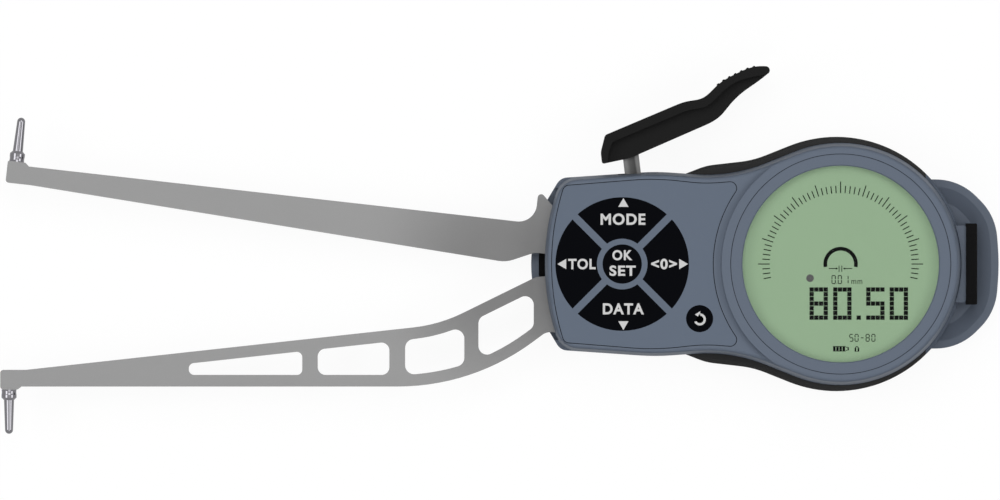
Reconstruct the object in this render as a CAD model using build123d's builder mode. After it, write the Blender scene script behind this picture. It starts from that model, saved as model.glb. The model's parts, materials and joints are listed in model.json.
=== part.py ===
from build123d import *
import os
from math import acos, atan2, cos, degrees, hypot, pi, radians, sin, sqrt, tan

# Inside caliper gauge with a round display, a keypad and a finger lever, lying on its back with open arms.
# Origin: axis of the moving arm's pivot, at the back.
# +X points to the display, +Y to the finger lever, +Z to the front.
# All sizes are in millimetres and degrees.

os.makedirs("parts", exist_ok=True)

# Clearances
running = 0.04
seat = 0.05
window_gap = 0.12
slot_gap = 0.4
thrust_gap = 0.4
boss_gap = 0.4
travel_spare = 0.1

# Gearing between the finger lever and the moving arm
gear_module = 0.7
arm_teeth = 22
lever_teeth = 17
pressure_angle = 20.0
dedendum = 1.25
backlash = 0.12
arm_sector_teeth = 6
lever_sector_teeth = 5
lever_pivot_angle = 73.0
centre_distance = gear_module * (arm_teeth + lever_teeth) / 2
lever_pivot_x = centre_distance * cos(radians(lever_pivot_angle))
lever_pivot_y = centre_distance * sin(radians(lever_pivot_angle))

# Levels above the back, from the back to the front
floor_thickness = 2.8
frame_floor = 7.4
frame_thickness = 3.2
arm_thickness = 5.0
split_level = 13.0
board_thickness = 1.2
board_to_arm = 2.2
main_board_lift = 1.6
dome_height = 1.0
key_travel = 0.4
stem_length = 0.7
deck_floor = 1.0
key_flange = 0.6
foil_thickness = 0.8
foil_depth = 0.1
ring_rise = 1.8
frame_level = frame_floor + frame_thickness
arm_level = frame_level + thrust_gap
arm_top = arm_level + arm_thickness
arm_middle = arm_level + arm_thickness / 2
lip_level = arm_level - slot_gap
keypad_board_level = arm_top + board_to_arm
main_board_level = arm_top + main_board_lift
dome_level = keypad_board_level + board_thickness
stem_level = dome_level + dome_height + key_travel + travel_spare
deck_level = stem_level + stem_length
pocket_level = deck_level + deck_floor
flange_level = pocket_level + key_travel + travel_spare
foil_level = flange_level + key_flange
foil_top = foil_level + foil_thickness
keypad_top = foil_top + foil_depth
ring_top = keypad_top + ring_rise

# Walls of the housing
wall = 2.0
draft_angle = 4.0
edge_round = 0.9
back_round = 2.2
draft_inset = (ring_top - split_level) * tan(radians(draft_angle))
shell_inset = wall + draft_inset / 2

# Display, ring by ring from the housing's outer wall inwards
display_x = 55.6
display_housing_radius = 30.9
display_ring_width = 2.9
ring_step = 0.6
bezel_width = 2.95
bezel_thickness = 1.5
bezel_sink = 0.1
bezel_bevel = 0.3
ledge_width = 1.4
window_thickness = 1.2
seal_thickness = 0.3
lcd_margin = 1.1
lcd_thickness = 2.0
lcd_gap = 0.2
carrier_flange = 1.0
step_radius = display_housing_radius - ring_step
display_seat_radius = display_housing_radius - display_ring_width
bezel_outer_radius = display_seat_radius - seat
window_view_radius = bezel_outer_radius - bezel_width
display_opening_radius = display_seat_radius - ledge_width
carrier_radius = display_opening_radius - window_gap
lcd_radius = display_opening_radius - lcd_margin
bezel_level = ring_top - bezel_sink - bezel_thickness
window_level = bezel_level - window_thickness
ledge_level = window_level - seal_thickness
lcd_level = window_level - lcd_gap - lcd_thickness

# Outline of the housing: bowed end, shoulder, waist, and a line from the waist to the display's circle
end_x = -19.9
end_sagitta = 4.2
end_half_width = 21.95
end_corner_radius = 6.3
shoulder_length = 19.6
shoulder_half_width = 23.6
shoulder_radius = 60.0
waist_depth = 3.3
waist_half_width = 22.24
waist_radius = 40.0
waist_x = display_x - display_housing_radius + waist_depth
shoulder_x = waist_x - shoulder_length
waist_distance = hypot(display_x - waist_x, waist_half_width)
waist_angle = degrees(atan2(waist_half_width, waist_x - display_x))
blend_angle = waist_angle - degrees(acos(display_housing_radius / waist_distance))
blend_x = display_x + display_housing_radius * cos(radians(blend_angle))

# Rear lip with the end slot and the trough of its seal
lip_reach = 3.25
lip_thickness = 1.95
lip_corner_depth = 1.0
lip_corner_y = 16.6
slot_half_width = 19.4
slot_reach = 6.0
trough_depth = 3.0
trough_width = 2.4
seal_half_width = 16.0
seal_round = 0.5
lip_x = end_x - lip_reach
lip_corner_x = end_x + lip_corner_depth
trough_x = lip_x + lip_thickness
trough_level = arm_level - trough_depth

# Tail behind the display, lower than the rest
tail_half_width = 21.6
tail_reach = 9.9
tail_shoulder_length = 10.2
tail_knee_length = 1.0
tail_knee_y = 12.3
tail_corner_radius = 14.5
tail_end_radius = 60.0
tail_floor = 1.2
tail_height = 6.6
tail_scoop = 1.4
tail_rim = 1.9
tail_slope = 3.6
tail_start = display_x + sqrt(display_housing_radius**2 - tail_half_width**2) - 2 * wall
tail_end = display_x + display_housing_radius + tail_reach
tail_shoulder_x = tail_end - tail_shoulder_length
tail_knee_x = tail_end - tail_knee_length

# Grips round the display end
grip_thickness = 1.55
grip_shift = 0.9
grip_floor = 2.6
grip_level = 12.7
grip_start_length = 9.5
grip_start_y = 21.4
grip_shoulder_length = 12.0
grip_shoulder_y = 25.1
grip_shoulder_radius = 15.0
grip_waist_length = 5.5
grip_waist_radius = 25.0
grip_round = 1.2
grip_radius = display_housing_radius + grip_thickness
grip_centre_x = display_x - grip_shift
grip_waist_x = waist_x + grip_waist_length
grip_shoulder_x = grip_waist_x - grip_shoulder_length
grip_start_x = grip_shoulder_x - grip_start_length

# Keypad
key_outer_radius = 17.0
key_inner_radius = 6.45
centre_key_radius = 5.0
back_key_radius = 3.45
back_key_x = 19.7
back_key_y = -13.9
spoke_width = 1.85
key_lip = 0.3
key_stem_radius = 1.5
key_stem_reach = 10.8
dome_radius = 2.6
dome_top_radius = 1.6
foil_left = 17.9
foil_half_width = 21.15
foil_end_sagitta = 3.2
foil_corner_drop = 1.25
foil_crown = 0.6
foil_dip = 0.8
foil_dip_length = 7.0
foil_band = 1.6
foil_corner = 1.6
foil_arc_radius = display_housing_radius + foil_band

# Arms: both end blocks, the moving arm with its hooked root, the fixed arm with its bends and its pad
open_angle = 6.42
pin_reach = 156.3
block_half = 2.2
block_shoulder = 1.0
block_drop = 0.75
block_rise = 0.85
block_corner_radius = 0.8
block_edge_radius = 0.3
moving_block_bottom = 3.1
moving_edge_top = 7.8
moving_root_bottom = -2.83
root_bend_x = -29.4
root_bend_radius = 8.0
neck_x = -22.4
neck_bottom = 0.4
neck_radius = 4.0
hook_slope_x = -14.3
hook_slope_radius = 3.0
hook_x = -23.25
hook_height = 16.6
hook_tip_radius = 0.9
hook_foot_radius = 4.6
hub_radius = 8.0
fixed_block_top = -27.0
fixed_edge_bottom = -31.24
inner_bend_x = -46.6
inner_bend_y = -15.45
inner_bend_radius = 38.0
outer_bend_x = -38.1
outer_bend_radius = 58.0
lug_end_x = -21.9
lug_end_y = -3.3
lug_end_radius = 4.0
lug_root_x = -16.5
lug_root_y = -2.9
lug_foot_x = -11.5
lug_radius = 1.0
heel_x = -19.4
heel_y = -17.4
heel_radius = 3.0
arm_pad_top = -9.4
arm_pad_bottom = -17.5
arm_pad_length = 22.5
arm_root_end = 8.0
arm_root_radius = 2.0
rail = 2.95
arm_windows = [(-110.5, -81.5, 1.4), (-77.6, -59.3, 2.0), (-55.3, -40.2, 2.3), (-36.6, -22.5, 2.2)]
tip_x = -pin_reach - block_half
arm_shoulder_x = -pin_reach + block_half
moving_pin_base = moving_edge_top + block_rise
fixed_pin_base = fixed_edge_bottom - block_drop
arm_pad_width = arm_pad_top - arm_pad_bottom
arm_pad_centre = (arm_root_end - arm_pad_length / 2, (arm_pad_top + arm_pad_bottom) / 2)

# Contact pins
collar_radius = 1.95
collar_length = 2.73
collar_dip = 0.08
collar_bevel = 0.65
pin_base_radius = 1.3
pin_tip_radius = 1.03
pin_length = 11.32
stub_radius = 1.25
stub_length = 3.0

# Pivots
arm_shaft_radius = 2.5
lever_shaft_radius = 2.0
shaft_flange = 1.0
shaft_flange_reach = 1.5
shaft_end = 0.6
bush_wall = 1.05
bush_flange_reach = 1.0
bush_proud = 0.2
ring_height = 0.6
ring_reach = 1.6
ring_groove_depth = 0.5
sector_seat = arm_thickness / 2
sector_clear = 0.8
arm_bush_radius = arm_shaft_radius + running + bush_wall
lever_bush_radius = lever_shaft_radius + running + bush_wall
ring_groove_level = arm_top + bush_proud + seat

# Finger lever, with its outlines along the straight top edge
lever_slope = 22.93
lever_back = 7.76
lever_rise = 20.05
lever_depth = 14.0
web_depth = 8.0
heel_points = [(24.0, -7.65), (3.0, -7.9), (-4.15, -6.5), (-3.3, -3.6), (-0.6, 0.0), (18.2, 0.0)]
heel_radii = [12.0, 0.6, 4.0, 1.0]
pad_points = [(22.0, -0.25), (25.8, -0.98), (28.2, -0.45), (31.0, 0.65), (36.5, 1.4), (43.9, 0.2)]
rim_points = [(19.5, -2.35), (0.4, -2.35), (-1.5, -4.4), (-2.75, -6.77)]
rim_radii = [1.5, 1.5, 0.3, 0.6, 4.0, 1.0]
web_points = [(28.7, -6.85), (31.9, -5.2), (36.1, -3.6), (43.6, -1.8)]
step_points = [(23.3, -2.87), (25.6, -3.3), (29.7, -2.15), (35.6, -0.58), (41.0, -1.25)]
nose_point = (44.5, -1.0)
ridge_count = 7
ridge_radius = 0.35
ridge_sink = 0.1
ridge_start = 0.5
ridge_end = 0.885
lever_origin_x = lever_pivot_x - lever_back
lever_origin_y = lever_pivot_y + lever_rise

# Shank of the finger lever, its slot in the housing's side and the slot's seal
shank_width = 4.1
shank_depth = 4.0
shank_lean = 6.9
shank_length = 19.0
hub_outer = 5.0
shank_slot_width = 8.4
shank_slot_shift = 0.11
seal_edge = 1.0
seal_inset = 0.7
seal_depth = 2.0
seal_drop = 0.8
lever_screw_reach = 17.2
lever_screw_grip = 1.0
shank_slot_x = lever_pivot_x + shank_slot_shift
seal_width = shank_slot_width + 2 * seal_edge
seal_outer_y = shoulder_half_width - seal_inset
seal_floor = arm_level - seal_drop
seal_top = arm_top + seal_edge
lever_screw_length = web_depth / 2 + shank_depth / 2 + lever_screw_grip

# Angle encoder and return spring
encoder_tab_reach = 12.0
encoder_tab_width = 9.0
encoder_half_angle = 24.0
encoder_inner = 8.8
encoder_outer = 16.5
encoder_thickness = 0.8
encoder_gap = 0.3
sensor_cover = 2.3
sensor_spare = 0.9
sensor_length = 5.4
sensor_width = 12.0
sensor_round = 1.0
spring_lift = 0.5
spring_pitch = 0.8
spring_turns = 1.25
spring_radius = 5.6
spring_wire = 0.6
encoder_level = arm_level + sector_seat
sensor_x = encoder_outer - sensor_cover
spring_level = arm_top + spring_lift

# Screws, their bosses and what they hold
housing_screw_radius = 1.3
housing_head_radius = 2.4
housing_head_height = 1.8
housing_head_level = 1.0
housing_thread_length = 5.0
thread_runout = 1.0
housing_boss_radius = 2.7
housing_boss_inset = 4.0
housing_head_margin = 0.8
small_screw_radius = 1.0
small_head_radius = 1.8
small_head_height = 0.9
small_thread_length = 1.6
frame_boss_radius = 2.4
frame_screw_grip = 4.0
cover_screw_length = 4.5
arm_screw_pitch = 9.0
arm_screw_shift = 0.75
countersink_depth = small_head_radius - small_screw_radius
housing_boss_reach = display_housing_radius - housing_boss_inset
side_screw_places = [(-11.5, 17.0), (13.0, -18.0)]
frame_screw_places = [(15.5, 10.0), (15.5, -10.0), (-12.2, 9.5), (-12.2, -0.5)]
arm_screw_middle = arm_pad_centre[0] - arm_screw_shift
arm_screw_places = [(arm_screw_middle + i * arm_screw_pitch, arm_pad_centre[1]) for i in (-1, 0, 1)]
sector_screw_places = [(-5.3, 0.0), (0.0, -5.3)]
encoder_screw_places = [(9.8, 2.6), (9.8, -2.6)]

# Boards and the measuring frame
main_board_gap = 0.6
leg_count = 3
leg_inset = 3.1
leg_radius = 2.0
chip_pitch = 14.0
chip_size = 6.0
chip_height = 1.0
pillar_radius = 2.2
pillar_places = [(-12.0, -14.5), (17.5, 13.5)]
keypad_board_end_gap = 5.95
keypad_board_side_gap = 2.48
keypad_board_display_gap = 0.15
frame_end_gap = 5.0
frame_side_gap = 1.48
frame_length = 33.4
frame_corner = 3.0
main_board_radius = housing_boss_reach - housing_boss_radius - main_board_gap
leg_reach = main_board_radius - leg_inset
leg_turns = [2 * pi * index / leg_count for index in range(leg_count)]
leg_places = [(display_x + leg_reach * cos(turn), leg_reach * sin(turn)) for turn in leg_turns]
keypad_board_left = end_x + keypad_board_end_gap
keypad_board_right = display_x - display_housing_radius - keypad_board_display_gap
keypad_board_width = 2 * (end_half_width - shell_inset - keypad_board_side_gap)
frame_width = 2 * (end_half_width - shell_inset - frame_side_gap)
frame_left = end_x + frame_end_gap

# Batteries, their box and their cover
cell_radius = 5.25
cell_length = 44.5
cell_spacing = 1.1
cell_side_gap = 0.75
cell_lift = 1.15
cell_nub = 0.8
cell_nub_radius = 1.9
contact_space = 1.0
contact_thickness = 0.4
contact_reach = 2.9
cell_box_wall = 1.2
cell_box_drop = 1.0
cover_side_margin = 6.2
cover_end_margin = 2.25
cover_corner = 9.0
cover_thickness = 1.6
cover_rim = 1.5
cover_sink = 0.5
cover_seal_inset = 0.5
cover_screw_inset = 2.6
cover_screw_pad = 2.5
cell_pitch = 2 * cell_radius + cell_spacing
cell_level = cover_thickness + seal_thickness + cell_lift + cell_radius
cell_box_width = cell_pitch + 2 * cell_radius + 2 * cell_side_gap
cell_box_length = cell_length + 2 * contact_space
cell_box_top = cell_level + cell_radius - cell_box_drop
cover_length = cell_box_width + 2 * cover_side_margin
cover_width = cell_box_length + 2 * cover_end_margin
cover_screw_places = [(display_x + side * (cover_length / 2 - cover_screw_inset), 0) for side in (-1, 1)]

# Housing screws round the display stand beside the battery cover
round_screw_x = cover_length / 2 + housing_head_radius + housing_head_margin
round_screw_y = sqrt(housing_boss_reach**2 - round_screw_x**2)
round_screw_places = [(display_x + i * round_screw_x, j * round_screw_y) for i in (-1, 1) for j in (-1, 1)]
housing_screw_places = side_screw_places + round_screw_places

# Data port
block_reach = 1.2
block_half_width = 9.8
block_height = 14.8
block_round = 0.5
end_slope_length = 2.7
end_slope_drop = 0.5
port_half_width = 6.0
port_floor = 7.6
port_height = 4.8
cap_thickness = 2.8
cap_half_width = 10.35
cap_floor = 6.9
cap_height = 8.5
cap_round = 0.4
plug_length = 3.0
connector_length = 6.0
block_front = display_x + display_housing_radius + block_reach

# Alignments of solids that stand on a level or hang from it
lower = (Align.CENTER, Align.CENTER, Align.MIN)
upper = (Align.CENTER, Align.CENTER, Align.MAX)
start_low = (Align.MIN, Align.CENTER, Align.MIN)
end_low = (Align.MAX, Align.CENTER, Align.MIN)


def turned(angle, x, y):
    """Point turned about the origin by an angle in degrees."""
    a = radians(angle)
    return (x * cos(a) - y * sin(a), x * sin(a) + y * cos(a))


def arm_plane(level, x=0.0, y=0.0):
    """Plane of the moving arm in its open position, at a level, with its origin at a point of the arm."""
    px, py = turned(-open_angle, x, y)
    ax, ay = turned(-open_angle, 1, 0)
    return Plane(origin=(px, py, level), x_dir=(ax, ay, 0), z_dir=(0, 0, 1))


def lever_plane(level):
    """Plane along the straight top edge of the finger lever."""
    a = radians(lever_slope)
    return Plane(origin=(lever_origin_x, lever_origin_y, level), x_dir=(cos(a), sin(a), 0), z_dir=(0, 0, 1))


def polygon_outline(corners):
    """Closed outline from its corners, each given as x, y and its own radius."""
    with BuildSketch() as outline:
        with BuildLine():
            FilletPolyline(*[(x, y) for x, y, r in corners], radius=[r for x, y, r in corners], close=True)
        make_face()
    return outline.sketch


def body_outline(front):
    """Outline of the housing: the front shell's bowed end or the rear shell's lip, waist, display circle."""
    flank = turned(blend_angle, display_housing_radius, 0)
    blend = (display_x + flank[0], flank[1])
    start = (end_x + end_sagitta, end_half_width)
    with BuildSketch() as outline:
        with BuildLine():
            side = FilletPolyline(
                start,
                (shoulder_x, shoulder_half_width),
                (waist_x, waist_half_width),
                blend,
                radius=[shoulder_radius, waist_radius],
            )
            mirror(side, about=Plane.XZ)
            ThreePointArc(blend, (display_x + display_housing_radius, 0), (blend[0], -blend[1]))
            if front:
                ThreePointArc(start, (end_x, 0), (start[0], -start[1]))
            else:
                Line(start, (lip_corner_x, lip_corner_y))
                ThreePointArc((lip_corner_x, lip_corner_y), (lip_x, 0), (lip_corner_x, -lip_corner_y))
                Line((lip_corner_x, -lip_corner_y), (start[0], -start[1]))
        make_face()
        corners = [v for v in outline.vertices() if abs(v.X - start[0]) < 0.01]
        fillet(corners, end_corner_radius if front else end_corner_radius / 2)
    return outline.sketch


def moved_in(corners, amount):
    """Corners of a closed clockwise outline after each side has moved inwards, with rounds that follow."""
    moved = []
    for before, here, after in zip(corners[-1:] + corners[:-1], corners, corners[1:] + corners[:1]):
        first = (Vector(*here[:2]) - Vector(*before[:2])).normalized()
        second = (Vector(*after[:2]) - Vector(*here[:2])).normalized()
        inwards = Vector(first.Y + second.Y, -first.X - second.X) * (amount / (1 + first.dot(second)))
        moved.append((here[0] + inwards.X, here[1] + inwards.Y, max(here[2] - amount, 0)))
    return moved


def tail_outline(inset):
    """D shape of the tail, from inside the display circle to the rounded end, or its rim's inner edge."""
    half = [
        (tail_start, tail_half_width, 0),
        (tail_shoulder_x, tail_half_width, tail_corner_radius),
        (tail_knee_x, tail_knee_y, tail_corner_radius),
    ]
    corners = half + [(tail_end, 0, tail_end_radius)] + [(x, -y, r) for x, y, r in reversed(half)]
    return polygon_outline(moved_in(corners, inset))


front_outline = body_outline(True)
rear_outline = body_outline(False)


def key_window(angle):
    """One of the four sector windows of the keypad, its middle at an angle."""
    apex = spoke_width / sqrt(2)
    far = 2 * key_outer_radius
    with BuildSketch() as window:
        Circle(key_outer_radius)
        Circle(key_inner_radius, mode=Mode.SUBTRACT)
        corners = [turned(angle - 90, *p) for p in ((0, apex), (far, apex + far), (-far, apex + far))]
        Polygon(*corners, align=None, mode=Mode.INTERSECT)
    return window.sketch


def round_window(x, y, radius):
    """A round window of the keypad."""
    with BuildSketch() as window:
        with Locations((x, y)):
            Circle(radius)
    return window.sketch


keys = {
    "key_zero": (key_window(0), (key_stem_reach, 0)),
    "key_mode": (key_window(90), (0, key_stem_reach)),
    "key_tol": (key_window(180), (-key_stem_reach, 0)),
    "key_data": (key_window(270), (0, -key_stem_reach)),
    "key_ok": (round_window(0, 0, centre_key_radius), (0, 0)),
    "key_back": (round_window(back_key_x, back_key_y, back_key_radius), (back_key_x, back_key_y)),
}
stem_places = [stem for window, stem in keys.values()]


def foil_outline():
    """Front plate of the keypad: its sides follow the housing and its concave end the display ring."""
    end_corner = (foil_end_sagitta - foil_left, foil_half_width - foil_corner_drop)
    display_corner = (display_x - sqrt(foil_arc_radius**2 - foil_half_width**2), foil_half_width)
    with BuildSketch() as outline:
        with BuildLine():
            crown = (shoulder_x, foil_half_width + foil_crown)
            dip = (waist_x - foil_dip_length, foil_half_width - foil_dip)
            bends = [shoulder_radius, waist_radius]
            side = FilletPolyline(end_corner, crown, dip, display_corner, radius=bends)
            mirror(side, about=Plane.XZ)
            display_middle = (display_x - foil_arc_radius, 0)
            ThreePointArc(display_corner, display_middle, (display_corner[0], -display_corner[1]))
            ThreePointArc(end_corner, (-foil_left, 0), (end_corner[0], -end_corner[1]))
        make_face()
        corner_x = (end_corner[0], display_corner[0])
        fillet([v for v in outline.vertices() if min(abs(v.X - x) for x in corner_x) < seat], foil_corner)
    return outline.sketch


foil_shape = foil_outline()

# Front shell: drafted wall, raised display ring, keypad deck, screw bosses and the upper half of the slots
with BuildPart() as front_housing:
    with BuildSketch(Plane.XY.offset(split_level)):
        add(front_outline)
    with BuildSketch(Plane.XY.offset(ring_top)):
        offset(front_outline, amount=-draft_inset)
    loft(ruled=True)
    rim = front_housing.faces().sort_by(Axis.Z)[-1].outer_wire().edges()
    fillet(rim, edge_round)
    with BuildSketch(Plane.XY.offset(keypad_top)):
        with Locations((blend_x - 2 * display_housing_radius, 0)):
            Rectangle(4 * display_housing_radius, 4 * display_housing_radius)
        with Locations((display_x, 0)):
            Circle(step_radius, mode=Mode.SUBTRACT)
    extrude(amount=ring_top, mode=Mode.SUBTRACT)
    deck_face = front_housing.faces().filter_by_position(Axis.Z, keypad_top - seat, keypad_top + seat)[0]
    display_middle = Vector(display_x, 0, keypad_top)
    deck_edges = deck_face.outer_wire().edges()
    fillet([e for e in deck_edges if (e.center() - display_middle).length > step_radius + seat], edge_round)
    with BuildSketch(Plane.XY.offset(split_level)):
        offset(front_outline, amount=-shell_inset)
    extrude(amount=deck_level - split_level, mode=Mode.SUBTRACT)
    # Keypad: recess for the foil, a pocket for each key's flange and a hole for its stem
    with BuildSketch(Plane.XY.offset(foil_level)):
        offset(foil_shape, amount=window_gap)
    extrude(amount=ring_top, mode=Mode.SUBTRACT)
    for window, stem in keys.values():
        with BuildSketch(Plane.XY.offset(pocket_level)):
            offset(window, amount=key_lip + window_gap)
        extrude(amount=foil_level - pocket_level, mode=Mode.SUBTRACT)
    with BuildSketch(Plane.XY.offset(deck_level)):
        with Locations(*stem_places):
            Circle(key_stem_radius + window_gap)
    extrude(amount=pocket_level - deck_level, mode=Mode.SUBTRACT)
    # Bosses and pillars
    with BuildSketch(Plane.XY.offset(split_level)):
        with Locations(*housing_screw_places):
            Circle(housing_boss_radius)
    extrude(amount=deck_level - split_level + deck_floor / 2)
    with BuildSketch(Plane.XY.offset(dome_level)):
        with Locations(*pillar_places):
            Circle(pillar_radius)
    extrude(amount=deck_level - dome_level + deck_floor / 2)
    with BuildSketch(Plane.XY.offset(split_level)):
        with Locations(*housing_screw_places):
            Circle(housing_screw_radius + seat)
    extrude(amount=housing_thread_length + thread_runout, mode=Mode.SUBTRACT)
    with BuildSketch(Plane.XY.offset(dome_level)):
        with Locations(*pillar_places):
            Circle(small_screw_radius + seat)
    extrude(amount=small_thread_length + seat, mode=Mode.SUBTRACT)
    # Display: opening, seat for the window and the bezel
    with BuildSketch(Plane.XY.offset(lcd_level - lcd_gap)):
        with Locations((display_x, 0)):
            Circle(display_opening_radius)
    extrude(amount=ring_top, mode=Mode.SUBTRACT)
    with BuildSketch(Plane.XY.offset(ledge_level)):
        with Locations((display_x, 0)):
            Circle(display_seat_radius)
    extrude(amount=ring_top, mode=Mode.SUBTRACT)
    # End slot for the arms and side slot for the lever's shank
    with BuildSketch(Plane.XY.offset(split_level)):
        with Locations((end_x, 0)):
            Rectangle(2 * slot_reach, 2 * slot_half_width)
    extrude(amount=arm_top + slot_gap - split_level, mode=Mode.SUBTRACT)
    with BuildSketch(Plane.XY.offset(split_level)):
        with Locations((shank_slot_x, shoulder_half_width)):
            Rectangle(seal_width, 2 * (shell_inset + seal_edge))
    extrude(amount=seal_top - split_level, mode=Mode.SUBTRACT)
front_housing.part.label = "front_housing"
export_step(front_housing.part, "parts/front_housing.step")

# Scoop of the tail: it slopes down from the rim and stops at the display's wall
with BuildPart() as scoop:
    with BuildSketch(Plane.XY.offset(tail_height - tail_scoop)):
        add(tail_outline(tail_rim + tail_slope))
    with BuildSketch(Plane.XY.offset(tail_height)):
        add(tail_outline(tail_rim))
    loft(ruled=True)
    with BuildSketch():
        with Locations((display_x, 0)):
            Circle(display_housing_radius)
    extrude(amount=ring_top, mode=Mode.SUBTRACT)

# Rear shell: rounded back, lip below the arms, tail, battery opening and bosses
with BuildPart() as rear_housing:
    with BuildSketch():
        add(rear_outline)
    extrude(amount=split_level)
    fillet(rear_housing.faces().sort_by(Axis.Z)[0].outer_wire().edges(), back_round)
    with BuildSketch(Plane.XY.offset(tail_floor)):
        add(tail_outline(0))
    extrude(amount=tail_height - tail_floor)
    add(scoop.part, mode=Mode.SUBTRACT)
    with BuildSketch(Plane.XY.offset(floor_thickness)):
        offset(front_outline, amount=-shell_inset)
    extrude(amount=split_level, mode=Mode.SUBTRACT)
    # End slot: the wall at the left end stops below the arms, with a trough for the seal behind it
    with BuildSketch(Plane.XY.offset(lip_level)):
        with Locations((lip_x, 0)):
            Rectangle(2 * (slot_reach + end_x - lip_x), 2 * slot_half_width)
    extrude(amount=split_level, mode=Mode.SUBTRACT)
    with BuildSketch(Plane.XY.offset(trough_level)):
        with Locations((trough_x, 0)):
            Rectangle(trough_width, 2 * seal_half_width, align=(Align.MIN, Align.CENTER))
    extrude(amount=split_level, mode=Mode.SUBTRACT)
    with BuildSketch(Plane.XY.offset(seal_floor)):
        with Locations((shank_slot_x, shoulder_half_width)):
            Rectangle(seal_width, 2 * (shell_inset + seal_edge))
    extrude(amount=split_level, mode=Mode.SUBTRACT)
    # Battery compartment with its opening at the back
    with BuildSketch(Plane.XY.offset(cover_thickness + seal_thickness)):
        with Locations((display_x, 0)):
            Rectangle(cell_box_width + 2 * cell_box_wall, cell_box_length + 2 * cell_box_wall)
    extrude(amount=cell_box_top - cover_thickness - seal_thickness)
    with BuildSketch():
        with Locations((display_x, 0)):
            Rectangle(cell_box_width, cell_box_length)
    extrude(amount=split_level, mode=Mode.SUBTRACT)
    with BuildSketch():
        with Locations((display_x, 0)):
            RectangleRounded(cover_length + 2 * seat, cover_width + 2 * seat, cover_corner)
    extrude(amount=cover_thickness + seal_thickness, mode=Mode.SUBTRACT)
    # Bosses for the housing screws, the measuring frame and the battery cover
    with BuildSketch(Plane.XY.offset(floor_thickness / 2)):
        with Locations(*housing_screw_places):
            Circle(housing_boss_radius)
    extrude(amount=split_level - floor_thickness / 2)
    with BuildSketch(Plane.XY.offset(floor_thickness / 2)):
        with Locations(*frame_screw_places):
            Circle(frame_boss_radius)
    extrude(amount=frame_floor - floor_thickness / 2)
    with BuildSketch(Plane.XY.offset(cover_thickness + seal_thickness)):
        with Locations(*cover_screw_places):
            Circle(frame_boss_radius)
    extrude(amount=cover_screw_length)
    with Locations(*[(x, y, 0) for x, y in housing_screw_places]):
        Cylinder(housing_screw_radius + seat, split_level, align=lower, mode=Mode.SUBTRACT)
        head_top = housing_head_level + housing_head_height
        Cylinder(housing_head_radius + seat, head_top, align=lower, mode=Mode.SUBTRACT)
    with Locations(*[(x, y, frame_floor) for x, y in frame_screw_places]):
        Cylinder(small_screw_radius + seat, frame_screw_grip, align=upper, mode=Mode.SUBTRACT)
    with Locations(*[(x, y, 0) for x, y in cover_screw_places]):
        Cylinder(small_screw_radius + seat, cover_screw_length, align=lower, mode=Mode.SUBTRACT)
    # Mouth of the data port through the wall
    with Locations((display_x + display_housing_radius, 0, port_floor)):
        Box(4 * wall, 2 * port_half_width, port_height, align=lower, mode=Mode.SUBTRACT)
rear_housing.part.label = "rear_housing"
export_step(rear_housing.part, "parts/rear_housing.step")

# Two black soft grips round the display end, swelling out to a larger circle, apart at the data port
with BuildPart() as side_grips:
    with BuildSketch(Plane.XY.offset(grip_floor)):
        with BuildLine():
            flank = turned(blend_angle, grip_radius, 0)
            blend = (grip_centre_x + flank[0], flank[1])
            swell = FilletPolyline(
                (grip_start_x, grip_start_y),
                (grip_shoulder_x, grip_shoulder_y),
                (grip_waist_x, blend[1] - (blend[0] - grip_waist_x) * tan(radians(blend_angle - 90))),
                blend,
                radius=[grip_shoulder_radius, grip_waist_radius],
            )
            mirror(swell, about=Plane.XZ)
            ThreePointArc(blend, (grip_centre_x + grip_radius, 0), (blend[0], -blend[1]))
            Line((grip_start_x, grip_start_y), (grip_start_x, -grip_start_y))
        make_face()
    extrude(amount=grip_level - grip_floor)
    flat_faces = side_grips.faces().filter_by(Axis.Z)
    fillet([e for e in flat_faces.edges() if e.center().X > grip_start_x + grip_thickness], grip_round)
    with BuildSketch():
        offset(rear_outline, amount=seat)
    extrude(amount=ring_top, mode=Mode.SUBTRACT)
    with BuildSketch():
        add(tail_outline(-seat))
    extrude(amount=tail_height + seat, mode=Mode.SUBTRACT)
    with Locations((block_front, 0, tail_height)):
        Box(4 * wall, 2 * (block_half_width + seat), ring_top, align=end_low, mode=Mode.SUBTRACT)
side_grips.part.label = "side_grips"
export_step(side_grips.part, "parts/side_grips.step")

# Bezel ring, window, liquid crystal display and what carries them
with BuildPart() as display_bezel:
    with BuildSketch(Plane.XY.offset(bezel_level)):
        with Locations((display_x, 0)):
            Circle(bezel_outer_radius)
            Circle(window_view_radius, mode=Mode.SUBTRACT)
    extrude(amount=bezel_thickness)
    chamfer(display_bezel.faces().sort_by(Axis.Z)[-1].inner_wires()[0].edges(), bezel_bevel)
display_bezel.part.label = "display_bezel"
export_step(display_bezel.part, "parts/display_bezel.step")

with BuildPart() as display_window:
    with BuildSketch(Plane.XY.offset(window_level)):
        with Locations((display_x, 0)):
            Circle(bezel_outer_radius - seat)
    extrude(amount=window_thickness)
display_window.part.label = "display_window"
export_step(display_window.part, "parts/display_window.step")

with BuildPart() as window_seal:
    with BuildSketch(Plane.XY.offset(ledge_level)):
        with Locations((display_x, 0)):
            Circle(bezel_outer_radius - seat)
            Circle(display_opening_radius, mode=Mode.SUBTRACT)
    extrude(amount=seal_thickness)
window_seal.part.label = "window_seal"
export_step(window_seal.part, "parts/window_seal.step")

with BuildPart() as lcd_panel:
    with BuildSketch(Plane.XY.offset(lcd_level)):
        with Locations((display_x, 0)):
            Circle(lcd_radius)
    extrude(amount=lcd_thickness)
lcd_panel.part.label = "lcd_panel"
export_step(lcd_panel.part, "parts/lcd_panel.step")

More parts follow.
